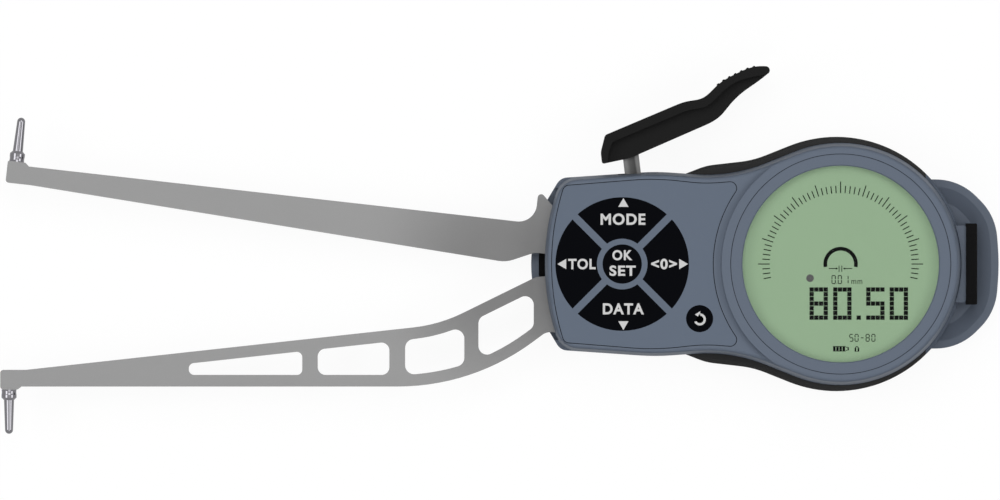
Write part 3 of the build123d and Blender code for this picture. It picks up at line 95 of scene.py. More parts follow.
def maths(tree, operation, first, second=None, third=None):
    """Maths node whose inputs are sockets or numbers; gives its output."""
    node = tree.nodes.new("ShaderNodeMath")
    node.operation = operation
    for index, value in enumerate((first, second, third)):
        if isinstance(value, bpy.types.NodeSocket):
            tree.links.new(value, node.inputs[index])
        elif value is not None:
            node.inputs[index].default_value = value
    return node.outputs[0]


def noise(tree, vector, scale, detail=2.0):
    """Noise texture on a vector; gives its value."""
    node = tree.nodes.new("ShaderNodeTexNoise")
    node.inputs["Detail"].default_value = detail
    tree.links.new(vector, node.inputs["Vector"])
    if isinstance(scale, bpy.types.NodeSocket):
        tree.links.new(scale, node.inputs["Scale"])
    else:
        node.inputs["Scale"].default_value = scale
    return node.outputs["Fac"]


def tinted(tree, colour, factor):
    """Colour times a factor; gives the result."""
    node = tree.nodes.new("ShaderNodeVectorMath")
    node.operation = "SCALE"
    tree.links.new(colour, node.inputs[0])
    tree.links.new(factor, node.inputs["Scale"])
    return node.outputs[0]


def moulded_grain_group():
    """Fine grain: a shade and a roughness that vary a little over the surface, and a height."""
    tree = bpy.data.node_groups.new("moulded_grain", "ShaderNodeTree")
    entry, leave = sockets(
        tree,
        [
            ("Colour", "Color", (0.5, 0.5, 0.5, 1.0)), ("Grain Size", "Float", 0.0004),
            ("Shade Range", "Float", 0.06), ("Painted Shade", "Float", 1.0),
            ("Roughness", "Float", 0.5), ("Roughness Range", "Float", 0.1),
        ],
        [("Colour", "Color"), ("Roughness", "Float"), ("Height", "Float")],
    )
    place = tree.nodes.new("ShaderNodeTexCoord").outputs["Object"]
    fine = noise(tree, place, maths(tree, "DIVIDE", 1.0, entry.outputs["Grain Size"]), fine_detail)
    broad = noise(tree, place, broad_scale)
    centred = maths(tree, "SUBTRACT", maths(tree, "ADD", fine, broad), 1.0)
    shade = maths(tree, "MULTIPLY_ADD", centred, entry.outputs["Shade Range"], 1.0)
    # The colour is multiplied by a painted shade that a material can feed in, as the arms do
    shade = maths(tree, "MULTIPLY", shade, entry.outputs["Painted Shade"])
    rough = maths(
        tree, "MULTIPLY_ADD", centred, entry.outputs["Roughness Range"], entry.outputs["Roughness"],
    )
    tree.links.new(tinted(tree, entry.outputs["Colour"], shade), leave.inputs["Colour"])
    tree.links.new(rough, leave.inputs["Roughness"])
    tree.links.new(fine, leave.inputs["Height"])
    return tree


def drawn_metal_group():
    """Drawn or turned metal: streaks along one axis, as a shade, a roughness and a height."""
    tree = bpy.data.node_groups.new("drawn_metal", "ShaderNodeTree")
    entry, leave = sockets(
        tree,
        [
            ("Colour", "Color", (0.5, 0.5, 0.5, 1.0)), ("Streaks", "Vector", (60.0, 4000.0, 4000.0)),
            ("Shade Range", "Float", 0.1), ("Roughness", "Float", 0.3), ("Roughness Range", "Float", 0.25),
        ],
        [("Colour", "Color"), ("Roughness", "Float"), ("Height", "Float")],
    )
    place = tree.nodes.new("ShaderNodeTexCoord").outputs["Object"]
    stretch = tree.nodes.new("ShaderNodeVectorMath")
    stretch.operation = "MULTIPLY"
    tree.links.new(place, stretch.inputs[0])
    tree.links.new(entry.outputs["Streaks"], stretch.inputs[1])
    streak = noise(tree, stretch.outputs[0], 1.0)
    centred = maths(tree, "SUBTRACT", streak, 0.5)
    shade = maths(tree, "MULTIPLY_ADD", centred, entry.outputs["Shade Range"], 1.0)
    rough = maths(
        tree, "MULTIPLY_ADD", centred, entry.outputs["Roughness Range"], entry.outputs["Roughness"],
    )
    tree.links.new(tinted(tree, entry.outputs["Colour"], shade), leave.inputs["Colour"])
    tree.links.new(rough, leave.inputs["Roughness"])
    tree.links.new(streak, leave.inputs["Height"])
    return tree


moulded_grain = moulded_grain_group()
drawn_metal = drawn_metal_group()


# Materials: values first, colours as 8-bit display colours, places across the stem from 0 to 1

relief_height = 0.05
arm_rgb = (145, 145, 145)
# Painted shade on the arms: the middle and radius of a darker spot, its level, and how far out it fades to
# full brightness
painted_shade_middle = (-31.0, -1.5)
painted_shade_radius = 7.0
painted_shade_level = 0.66
painted_shade_reach = 36.0
stem_rgb = (84, 84, 84)
stem_lean = 8.5
stem_middle = (2.6, 24.5)
stem_width = 4.1
# Painted shade across the stem: darker bands at these places, and its base colour at the two edges
stem_painted_shade_bands = [(0.38, (62, 62, 62)), (0.7, (50, 50, 50))]
stem_painted_shade_edges = (0.2, 0.8)
display_painted_glow = 0.3
grip_end_x = 77.5
tail_rgb = (96, 105, 119)
pane_alpha = 0.03
pane_colour = (0.03, 0.035, 0.03, 1.0)
pane_scale = 300.0
pane_roughness = 0.05
pane_roughness_range = 0.06


def finish_material(name, group, colour, settings, metallic=0.0, bump=0.0, specular=0.5):
    """Principled material whose colour, roughness and relief come from a shader group."""
    material = bpy.data.materials.new(name)
    material.use_nodes = True
    tree = material.node_tree
    shader = tree.nodes["Principled BSDF"]
    shader.inputs["Metallic"].default_value = metallic
    shader.inputs["Specular IOR Level"].default_value = specular
    texture = tree.nodes.new("ShaderNodeGroup")
    texture.name = "texture"
    texture.node_tree = group
    texture.inputs["Colour"].default_value = colour
    for key, value in settings.items():
        texture.inputs[key].default_value = value
    tree.links.new(texture.outputs["Colour"], shader.inputs["Base Color"])
    tree.links.new(texture.outputs["Roughness"], shader.inputs["Roughness"])
    if bump:
        relief = tree.nodes.new("ShaderNodeBump")
        relief.inputs["Strength"].default_value = bump
        relief.inputs["Distance"].default_value = relief_height * MM
        tree.links.new(texture.outputs["Height"], relief.inputs["Height"])
        tree.links.new(relief.outputs["Normal"], shader.inputs["Normal"])
    return material


def moulded(name, rgb, size=0.4, shade=0.05, rough=0.5, bump=0.3, specular=0.3):
    """Moulded plastic, rubber or print with a fine grain, its size in millimetres."""
    settings = {"Grain Size": size * MM, "Shade Range": shade, "Roughness": rough}
    return finish_material(name, moulded_grain, linear(*rgb), settings, bump=bump, specular=specular)


def metal(name, rgb, streaks=(900, 900, 900), shade=0.12, rough=0.3, vary=0.25, bump=0.1):
    """Metal with drawn or turned streaks, given as how many to a metre along each axis."""
    settings = {
        "Streaks": streaks, "Shade Range": shade, "Roughness": rough, "Roughness Range": vary,
    }
    return finish_material(name, drawn_metal, linear(*rgb), settings, metallic=1.0, bump=bump)


def blasted_metal_material():
    """Bead-blasted metal of the arms, with a painted shade that darkens them round a spot near their roots."""
    settings = {"Grain Size": 0.22 * MM, "Shade Range": 0.14, "Roughness": 0.6, "Roughness Range": 0.2}
    material = finish_material(
        "blasted_metal", moulded_grain, linear(*arm_rgb), settings,
        metallic=0.3, bump=0.4, specular=0.3,
    )
    tree = material.node_tree
    # Painted shade: darker round a spot near the arms' roots, fading to full brightness further out
    away = tree.nodes.new("ShaderNodeVectorMath")
    away.operation = "DISTANCE"
    tree.links.new(tree.nodes.new("ShaderNodeTexCoord").outputs["Object"], away.inputs[0])
    away.inputs[1].default_value = (painted_shade_middle[0] * MM, painted_shade_middle[1] * MM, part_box("movable_arm")[1].z)
    ramp = tree.nodes.new("ShaderNodeValToRGB")
    ramp.color_ramp.interpolation = "EASE"
    ramp.color_ramp.elements[0].position = painted_shade_radius / painted_shade_reach
    ramp.color_ramp.elements[0].color = (painted_shade_level, painted_shade_level, painted_shade_level, 1.0)
    ramp.color_ramp.elements[1].color = (1.0, 1.0, 1.0, 1.0)
    tree.links.new(maths(tree, "DIVIDE", away.outputs["Value"], painted_shade_reach * MM), ramp.inputs["Fac"])
    tree.links.new(ramp.outputs["Color"], tree.nodes["texture"].inputs["Painted Shade"])
    return material


def stem_material():
    """Steel of the lever's stem, with a painted shade: darker bands along its middle, as a round bar would be
    shaded.
    """
    material = metal("stem_steel", stem_rgb, streaks=(3000, 80, 3000), shade=0.2, rough=0.35)
    tree = material.node_tree
    across = tree.nodes.new("ShaderNodeVectorMath")
    across.operation = "DOT_PRODUCT"
    turn = radians(stem_lean)
    across.inputs[1].default_value = (cos(turn), sin(turn), 0.0)
    tree.links.new(tree.nodes.new("ShaderNodeTexCoord").outputs["Object"], across.inputs[0])
    middle = stem_middle[0] * cos(turn) + stem_middle[1] * sin(turn)
    per_width = 1 / (stem_width * MM)
    share = maths(tree, "MULTIPLY_ADD", across.outputs["Value"], per_width, 0.5 - middle / stem_width)
    # Painted shade: the colour goes from the base colour at the stem's edges to darker bands along its middle
    ramp = tree.nodes.new("ShaderNodeValToRGB")
    for element, place in zip(ramp.color_ramp.elements, stem_painted_shade_edges):
        element.position = place
        element.color = linear(*stem_rgb)
    for place, rgb in stem_painted_shade_bands:
        ramp.color_ramp.elements.new(place).color = linear(*rgb)
    tree.links.new(share, ramp.inputs["Fac"])
    tree.links.new(ramp.outputs["Color"], tree.nodes["texture"].inputs["Colour"])
    return material


def lit_display_material():
    """Liquid crystal panel: a matt green with a painted glow, light of its own that evens out the shade in its
    recess.
    """
    material = moulded(
        "lcd_green", (141, 167, 136), size=0.3, shade=0.03, rough=0.6, bump=0.0, specular=0.1,
    )
    tree = material.node_tree
    shader = tree.nodes["Principled BSDF"]
    # Painted light: the panel glows in its own colour, though it is no lamp
    tree.links.new(tree.nodes["texture"].outputs["Colour"], shader.inputs["Emission Color"])
    shader.inputs["Emission Strength"].default_value = display_painted_glow
    return material


def grip_material():
    """Black soft grip; its ends behind the tail have the housing's colour."""
    material = moulded("grip_black", (55, 55, 55), size=0.35, shade=0.1, rough=0.75, bump=0.5, specular=0.1)
    tree = material.node_tree
    place = tree.nodes.new("ShaderNodeSeparateXYZ")
    tree.links.new(tree.nodes.new("ShaderNodeTexCoord").outputs["Object"], place.inputs[0])
    mix = tree.nodes.new("ShaderNodeMix")
    mix.data_type = "RGBA"
    colour = tree.nodes["texture"].inputs["Colour"]
    near, far = [socket for socket in mix.inputs if socket.type == "RGBA"]
    near.default_value = colour.default_value
    far.default_value = linear(*tail_rgb)
    mixed = next(socket for socket in mix.outputs if socket.type == "RGBA")
    tree.links.new(maths(tree, "GREATER_THAN", place.outputs["X"], grip_end_x * MM), mix.inputs["Factor"])
    tree.links.new(mixed, colour)
    return material


def clear_window_material():
    """Clear pane: mostly see-through, with a faint gloss."""
    material = bpy.data.materials.new("clear_window")
    material.use_nodes = True
    tree = material.node_tree
    shader = tree.nodes["Principled BSDF"]
    shader.inputs["Alpha"].default_value = pane_alpha
    shader.inputs["Base Color"].default_value = pane_colour
    place = tree.nodes.new("ShaderNodeTexCoord").outputs["Object"]
    ripple = noise(tree, place, pane_scale)
    rough = maths(tree, "MULTIPLY_ADD", ripple, pane_roughness_range, pane_roughness)
    tree.links.new(rough, shader.inputs["Roughness"])
    return material


housing_grey = moulded("housing_grey", (102, 112, 127), size=0.25, rough=0.55, bump=0.25, specular=0.15)
keypad_grey = moulded("keypad_grey", (100, 111, 127), size=0.2, rough=0.5, bump=0.15, specular=0.15)
back_grey = moulded("back_grey", tail_rgb, size=0.3, shade=0.06, rough=0.6, bump=0.35)
grip_black = grip_material()
key_black = moulded("key_black", (8, 9, 13), size=0.2, shade=0.1, rough=0.5, bump=0.1, specular=0.01)
lever_black = moulded("lever_black", (25, 25, 25), size=0.5, shade=0.08, rough=0.5, bump=0.2, specular=0.05)
# Black of the seals, also used for the dark walls that paint shade in the seams
seal_and_shade_black = moulded("seal_and_shade_black", (6, 6, 7), size=0.5, shade=0.1, rough=0.8, bump=0.3, specular=0.1)
cap_black = moulded("cap_black", (12, 12, 13), size=0.4, shade=0.1, rough=0.6, bump=0.3, specular=0.05)
# Black of parts inside, also used for the flat crosses that paint the shade of the screw recesses
inner_black = moulded("inner_black", (22, 22, 24), size=0.4, shade=0.1, rough=0.6)
board_green = moulded("board_green", (18, 84, 52), size=1.5, shade=0.2, rough=0.4)
lcd_green = lit_display_material()
legend_white = moulded("legend_white", (214, 214, 214), size=0.2, shade=0.04, rough=0.6, bump=0.1)
figure_black = moulded("figure_black", (3, 5, 4), size=0.4, shade=0.1, rough=0.6, bump=0.0, specular=0.05)
figure_grey = moulded("figure_grey", (10, 17, 10), size=0.4, shade=0.1, rough=0.6, bump=0.0, specular=0.05)
dot_grey = moulded("dot_grey", (99, 99, 99), size=0.4, shade=0.1, rough=0.6, bump=0.0, specular=0.1)
blasted_metal = blasted_metal_material()
pin_chrome = metal(
    "pin_chrome", (118, 117, 121), streaks=(2000, 60, 2000), shade=0.04, rough=0.05, vary=0.02, bump=0.0,
)
stem_steel = stem_material()
plain_steel = metal("plain_steel", (150, 150, 152), shade=0.15)
bush_bronze = metal("bush_bronze", (170, 120, 66), shade=0.15, rough=0.35)
cell_grey = metal("cell_grey", (90, 92, 96), streaks=(400, 60, 400), rough=0.35)
clear_window = clear_window_material()

node_finishes = {
    housing_grey: ["front_housing", "display_bezel"],
    keypad_grey: ["keypad_foil"],
    back_grey: ["rear_housing", "battery_cover", "data_port_block"],
    grip_black: ["side_grips"],
    key_black: ["key_mode", "key_data", "key_tol", "key_zero", "key_ok", "key_back"],
    lever_black: ["lever_handle"],
    seal_and_shade_black: ["arm_slot_seal", "lever_slot_seal", "window_seal", "battery_cover_seal"],
    cap_black: ["port_cap"],
    inner_black: ["lcd_frame", "sensor_head", "data_connector"],
    board_green: ["main_board", "keypad_board"],
    lcd_green: ["lcd_panel"],
    clear_window: ["display_window"],
    blasted_metal: ["movable_arm", "fixed_arm", "measuring_frame"],
    pin_chrome: ["moving_contact_pin", "fixed_contact_pin"],
    stem_steel: ["lever_shank"],
    cell_grey: ["batteries"],
    bush_bronze: ["arm_bearing_bush", "lever_bearing_bush"],
}


def finish_nodes():
    """Gives each CAD node its material; what no list names is plain steel."""
    chosen = {node: finish for finish, names in node_finishes.items() for node in names}
    for name, node in nodes.items():
        node.data.materials.clear()
        node.data.materials.append(chosen.get(name, plain_steel))


finish_nodes()


# Meshes of flat shapes and of words

letter_spacing = 1.13
letter_steps = 6
letter_depth = 1.0


def link_mesh(name, mesh, material, body):
    """Puts a finished mesh in the scene as a piece that rides on a body."""
    piece = bpy.data.objects.new(name, mesh)
    bpy.context.scene.collection.objects.link(piece)
    mesh.materials.clear()
    mesh.materials.append(material)
    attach(piece, body)


def raised(outlines, level, rise):
    """Mesh of flat closed outlines, raised from a level."""
    shape = bmesh.new()
    for outline in outlines:
        low = [shape.verts.new(Vector((x, y, level)) * MM) for x, y in outline]
        high = [shape.verts.new(Vector((x, y, level + rise)) * MM) for x, y in outline]
        shape.faces.new(list(reversed(low)))
        shape.faces.new(high)
        for index in range(len(low)):
            after = (index + 1) % len(low)
            shape.faces.new([low[index], low[after], high[after], high[index]])
    bmesh.ops.triangulate(shape, faces=[face for face in shape.faces if len(face.verts) > 4])
    bmesh.ops.recalc_face_normals(shape, faces=shape.faces)
    mesh = bpy.data.meshes.new("raised")
    shape.to_mesh(mesh)
    shape.free()
    return mesh


def words_mesh(words, x, y, width, height, level, rise, weight):
    """Mesh of words with their middle at x, y, fitted to a width and a height."""
    curve = bpy.data.curves.new("words", "FONT")
    curve.body = words
    curve.offset = weight
    curve.space_character = letter_spacing
    curve.extrude = letter_depth / 2
    curve.resolution_u = letter_steps
    holder = bpy.data.objects.new("words", curve)
    bpy.context.scene.collection.objects.link(holder)
    mesh = bpy.data.meshes.new_from_object(holder.evaluated_get(bpy.context.evaluated_depsgraph_get()))
    bpy.data.objects.remove(holder)
    bpy.data.curves.remove(curve)
    xs = [vertex.co.x for vertex in mesh.vertices]
    ys = [vertex.co.y for vertex in mesh.vertices]
    middle = Vector(((min(xs) + max(xs)) / 2, (min(ys) + max(ys)) / 2, -letter_depth / 2))
    stretch = Matrix.Diagonal(
        (width / (max(xs) - min(xs)), height / (max(ys) - min(ys)), rise / letter_depth)
    )
    for vertex in mesh.vertices:
        vertex.co = (Vector((x, y, level)) + stretch @ (vertex.co - middle)) * MM
    return mesh


def joined(meshes):
    """One mesh out of several."""
    shape = bmesh.new()
    for mesh in meshes:
        shape.from_mesh(mesh)
        bpy.data.meshes.remove(mesh)
    mesh = bpy.data.meshes.new("joined")
    shape.to_mesh(mesh)
    shape.free()
    return mesh


def ring_sector(x, y, inner, outer, start, end, steps):
    """Outline of part of a ring, angles in degrees."""
    turns = [radians(start + (end - start) * step / steps) for step in range(steps + 1)]
    far = [(x + outer * cos(turn), y + outer * sin(turn)) for turn in turns]
    near = [(x + inner * cos(turn), y + inner * sin(turn)) for turn in reversed(turns)]
    return far + near


def arrow_head(x, y, angle, length, half_width):
    """Triangle whose point is at x, y and looks along an angle in degrees."""
    ahead = Vector((cos(radians(angle)), sin(radians(angle))))
    across = Vector((-ahead.y, ahead.x))
    tip = Vector((x, y))
    foot = tip - ahead * length
    return [tuple(tip), tuple(foot + across * half_width), tuple(foot - across * half_width)]


# Key legends: words with their middle, width and height, and an arrow's point with its direction

legend_rise = 0.03
legend_weight = 0.032
arrow_length = 2.25
arrow_half_width = 1.3
return_radius = 1.25
return_half_stroke = 0.29
return_place = (19.75, -14.1)
return_start = -155
return_end = 88
return_steps = 28
return_head_length = 1.35
return_head_half_width = 0.85
legends = {
    "key_mode": ([("MODE", 0.2, 11.4, 11.42, 2.93)], (0.3, 16.8, 90)),
    "key_data": ([("DATA", 0.3, -11.4, 10.46, 2.86)], (0.3, -16.8, -90)),
    "key_tol": ([("TOL", -10.25, 0.0, 7.0, 2.73)], (-16.5, 0.0, 180)),
    "key_zero": ([("<0>", 10.65, 0.0, 6.58, 2.73)], (16.75, 0.0, 0)),
    "key_ok": ([("OK", 0.05, 2.25, 5.1, 2.63), ("SET", 0.1, -1.7, 6.71, 2.68)], None),
}
body_of = {node: body for body, names in bodies.items() for node in names}


def key_legends():
    """Words and arrow of each large key, and the bent arrow of the small round one."""
    for node, (lines, arrow) in legends.items():
        meshes = [words_mesh(*line, key_top, legend_rise, legend_weight) for line in lines]
        if arrow:
            head = arrow_head(*arrow, arrow_length, arrow_half_width)
            meshes.append(raised([head], key_top, legend_rise))
        link_mesh("legend_" + node, joined(meshes), legend_white, body_of[node])
    x, y = return_place
    inner, outer = return_radius - return_half_stroke, return_radius + return_half_stroke
    bow = ring_sector(x, y, inner, outer, return_start, return_end, return_steps)
    head = arrow_head(x - return_radius, y + return_radius, 180, return_head_length, return_head_half_width)
    mesh = raised([bow, head], key_top, legend_rise)
    link_mesh("legend_return", mesh, legend_white, body_of["key_back"])


key_legends()


# Geometry Nodes: a box on every point, turned and stretched by the point's own values

def boxes_tree():
    """Tree that puts a box of a given size and finish on every point."""
    tree = bpy.data.node_groups.new("boxes_on_points", "GeometryNodeTree")
    tree.interface.new_socket(name="Points", in_out="INPUT", socket_type="NodeSocketGeometry")
    for name, kind in (("Length", "Float"), ("Width", "Float"), ("Height", "Float"), ("Finish", "Material")):
        tree.interface.new_socket(name=name, in_out="INPUT", socket_type="NodeSocket" + kind)
    tree.interface.new_socket(name="Copies", in_out="OUTPUT", socket_type="NodeSocketGeometry")
    add, link = tree.nodes.new, tree.links.new
    entry, leave = add("NodeGroupInput"), add("NodeGroupOutput")
    box, size = add("GeometryNodeMeshCube"), add("ShaderNodeCombineXYZ")
    for axis, name in enumerate(("Length", "Width", "Height")):
        link(entry.outputs[name], size.inputs[axis])
    link(size.outputs[0], box.inputs["Size"])
    turn, scale = add("ShaderNodeCombineXYZ"), add("ShaderNodeCombineXYZ")
    scale.inputs["Y"].default_value = 1.0
    scale.inputs["Z"].default_value = 1.0
    for name, socket in (("angle", turn.inputs["Z"]), ("stretch", scale.inputs["X"])):
        value = add("GeometryNodeInputNamedAttribute")
        value.data_type = "FLOAT"
        value.inputs["Name"].default_value = name
        link(value.outputs["Attribute"], socket)
    place = add("GeometryNodeInstanceOnPoints")
    link(entry.outputs["Points"], place.inputs["Points"])
    link(box.outputs["Mesh"], place.inputs["Instance"])
    link(turn.outputs[0], place.inputs["Rotation"])
    link(scale.outputs[0], place.inputs["Scale"])
    real, paint = add("GeometryNodeRealizeInstances"), add("GeometryNodeSetMaterial")
    link(place.outputs["Instances"], real.inputs["Geometry"])
    link(real.outputs["Geometry"], paint.inputs["Geometry"])
    link(entry.outputs["Finish"], paint.inputs["Material"])
    link(paint.outputs["Geometry"], leave.inputs["Copies"])
    return tree


box_tree = boxes_tree()
box_inputs = {
    item.name: item.identifier for item in box_tree.interface.items_tree if item.in_out == "INPUT"
}


def boxes(points, length, width, height, material):
    """Mesh of one box for each point, given by x, y, level, angle and a stretch of its length."""
    mesh = bpy.data.meshes.new("points")
    mesh.from_pydata([Vector(point[:3]) * MM for point in points], [], [])
    for column, name in ((3, "angle"), (4, "stretch")):
        values = mesh.attributes.new(name, "FLOAT", "POINT")
        for index, point in enumerate(points):
            values.data[index].value = point[column]
    holder = bpy.data.objects.new("holder", mesh)
    bpy.context.scene.collection.objects.link(holder)
    copies = holder.modifiers.new("copies", "NODES")
    copies.node_group = box_tree
    size = {"Length": length * MM, "Width": width * MM, "Height": height * MM}
    for name, value in {**size, "Finish": material}.items():
        copies[box_inputs[name]] = value
    made = bpy.data.meshes.new_from_object(holder.evaluated_get(bpy.context.evaluated_depsgraph_get()))
    holder.modifiers.clear()
    bpy.data.objects.remove(holder)
    return made


# Display: scale of 57 ticks, dot figures, small bar figures and symbols, printed on the panel

print_rise = 0.04
print_level = lcd_top + print_rise / 2
tick_inner = 18.05
tick_length = 1.9
long_tick_length = 2.95
tick_width = 0.25
tick_step = 3.6
first_tick = -3
last_tick = 53
long_tick_every = 5
figure_pitch = 1.195
figure_dot = 1.09
figure_dots_high = 7
figure_top = -6.48
figure_lefts = [("8", -7.37), ("0", -1.35), ("5", 7.06), ("0", 13.03)]
point_place = (4.6, figure_top - (figure_dots_high - 1) * figure_pitch)
figure_rows = {
    "8": ("XXXX", "X..X", "X..X", "XXXX", "X..X", "X..X", "XXXX"),
    "0": ("XXXX", "X..X", "X..X", "X..X", "X..X", "X..X", "XXXX"),
    "5": ("XXXX", "X...", "X...", "XXXX", "...X", "...X", "XXXX"),
}
bar_width = 0.22
bar_gap = 0.2
bars_lit = {"0": "abcdef", "1": "bc", "5": "acdfg", "8": "abcdefg", "-": "g"}
step_figures = {
    "spans": [("0", -2.2), ("0", -0.62), ("1", 1.06)],
    "top": -2.95, "width": 0.85, "height": 2.02,
}
step_point = (-1.02, -0.87, -5.05, -4.9)
range_figures = {
    "spans": [("5", 2.33), ("0", 3.67), ("-", 5.08), ("8", 6.48), ("0", 7.95)],
    "top": -17.9, "width": 0.8, "height": 1.76,
}
unit_place = (4.13, -4.58)
unit_size = (2.75, 1.0)
bow_inner = 3.42
bow_outer = 4.38
bow_start = -11
bow_end = 191
bow_steps = 48
gap_level = -1.15
gap_shafts = [(-3.0, -1.1), (1.05, 2.93)]
gap_shaft_width = 0.2
gap_stops = [(-0.49, -0.3), (0.21, 0.4)]
gap_stop_ends = (-2.0, -0.4)
gap_heads = [(-0.64, 0), (0.6, 180)]
gap_head_length = 0.55
gap_head_half_width = 0.28
battery_left = -1.98
battery_right = 1.3
battery_bottom = -22.1
battery_top = -21.05
battery_line = 0.15
cell_left = -1.9
cell_width = 0.62
cell_pitch = 0.8
cell_count = 4
knob_shoulder = 1.75
knob_right = 2.1
knob_bottom = -22.05
knob_top = -21.1
knob_inset = 0.1
lock_x = 4.15
lock_half_width = 0.58
lock_side = 0.4
lock_foot = 0.1
lock_bottom = -22.2
lock_top = -21.4
shackle_inner = 0.25
shackle_outer = 0.47
shackle_steps = 12
dot_place = (-7.78, -3.6)
dot_radius = 0.97
dot_steps = 32


def tick_points():
    """Places of the scale's ticks, counted from the level one on the right, every fifth one longer."""
    points = []
    for count in range(first_tick, last_tick + 1):
        length = tick_length if count % long_tick_every else long_tick_length
        middle = tick_inner + length / 2
        turn = radians(count * tick_step)
        x, y = display_x + middle * cos(turn), middle * sin(turn)
        points.append((x, y, print_level, turn, length / tick_length))
    return points


def dot_points():
    """Places of the lit dots of the large figures and of their point."""
    places = [point_place]
    for figure, left in figure_lefts:
        for row, line in enumerate(figure_rows[figure]):
            lit = [column for column, mark in enumerate(line) if mark == "X"]
            places += [(left + column * figure_pitch, figure_top - row * figure_pitch) for column in lit]
    return [(display_x + x, y, print_level, 0.0, 1.0) for x, y in places]


def bar_figures(spans, top, width, height):
    """Mesh of small figures of seven thin bars, each figure given with its left side."""
    points = []
    for figure, left in spans:
        near, far = display_x + left, display_x + left + width
        centre, middle, bottom = (near + far) / 2, top - height / 2, top - height
        spots = {
            "a": (centre, top, 0.0), "g": (centre, middle, 0.0), "d": (centre, bottom, 0.0),
            "f": (near, (top + middle) / 2, pi / 2), "b": (far, (top + middle) / 2, pi / 2),
            "e": (near, (middle + bottom) / 2, pi / 2), "c": (far, (middle + bottom) / 2, pi / 2),
        }
        points += [(*spots[bar][:2], print_level, spots[bar][2], 1.0) for bar in bars_lit[figure]]
    return boxes(points, height / 2 - bar_gap, bar_width, print_rise, figure_grey)


def print_shapes(name, outlines, material):
    """Prints flat outlines, their places counted from the middle of the display."""
    moved = [[(display_x + x, y) for x, y in outline] for outline in outlines]
    link_mesh(name, raised(moved, lcd_top, print_rise), material, "housing")


def rectangle(left, right, bottom, top):
    """Corners of an upright rectangle."""
    return [(left, bottom), (right, bottom), (right, top), (left, top)]


def battery_outlines():
    """Battery symbol: its cells, the lines above and below them, and the knob at its end."""
    starts = [cell_left + index * cell_pitch for index in range(cell_count)]
    return [
        *[rectangle(start, start + cell_width, battery_bottom, battery_top) for start in starts],
        rectangle(battery_left, battery_right, battery_top, battery_top + battery_line),
        rectangle(battery_left, battery_right, battery_bottom - battery_line, battery_bottom),
        rectangle(battery_right, knob_shoulder, knob_top - battery_line, knob_top),
        rectangle(battery_right, knob_shoulder, knob_bottom, knob_bottom + battery_line),
        rectangle(knob_shoulder, knob_right, knob_bottom + knob_inset, knob_top - knob_inset),
    ]


def lock_outlines():
    """Padlock symbol: two sides, a foot and a shackle."""
    left, right = lock_x - lock_half_width, lock_x + lock_half_width
    return [
        rectangle(left, left + lock_side, lock_bottom, lock_top),
        rectangle(right - lock_side, right, lock_bottom, lock_top),
        rectangle(left, right, lock_bottom - lock_foot, lock_bottom),
        ring_sector(lock_x, lock_top, shackle_inner, shackle_outer, 0, 180, shackle_steps),
    ]


def gap_outlines():
    """Two arrows that point at a gap between two stops."""
    low, high = gap_level - gap_shaft_width / 2, gap_level + gap_shaft_width / 2
    return [
        *[rectangle(*ends, low, high) for ends in gap_shafts],
        *[rectangle(*sides, *gap_stop_ends) for sides in gap_stops],
        *[arrow_head(x, gap_level, angle, gap_head_length, gap_head_half_width) for x, angle in gap_heads],
    ]


def display_content():
    """Everything that the display shows."""
    ticks = boxes(tick_points(), tick_length, tick_width, print_rise, figure_black)
    link_mesh("display_scale", ticks, figure_black, "housing")
    dots = boxes(dot_points(), figure_dot, figure_dot, print_rise, figure_black)
    link_mesh("display_figures", dots, figure_black, "housing")
    unit_x, unit_y = unit_place
    unit = words_mesh("mm", display_x + unit_x, unit_y, *unit_size, lcd_top, print_rise, 0.0)
    small = joined([bar_figures(**step_figures), bar_figures(**range_figures), unit])
    link_mesh("display_small_figures", small, figure_grey, "housing")
    bow = ring_sector(0.0, 0.0, bow_inner, bow_outer, bow_start, bow_end, bow_steps)
    print_shapes("display_symbols", [bow, *battery_outlines(), *lock_outlines()], figure_black)
    print_shapes("display_arrows", [*gap_outlines(), rectangle(*step_point)], figure_grey)
    x, y = dot_place
    turns = [2 * pi * step / dot_steps for step in range(dot_steps)]
    disc = [(x + dot_radius * cos(turn), y + dot_radius * sin(turn)) for turn in turns]
    print_shapes("display_dot", [disc], dot_grey)


display_content()


# Linings: painted shade in the seams, as thin dark walls thickened from the side faces of a CAD node. How far
# a face lies from the middle of the keypad, of the small key or of the display tells whether it belongs to the
# seam.

merge_distance = 0.001
upright_limit = 0.05
keys_radius = 17.3
return_key_reach = 4.0
bezel_reach = 27.4
# Painted shade in the seams: how far the dark walls stand above the foil and the bezel, and how thick each one
# is
groove_shade_rise = 0.11
grip_seam_shade_width = 0.06
keypad_groove_shade_width = 0.17
bezel_groove_shade_width = 0.13


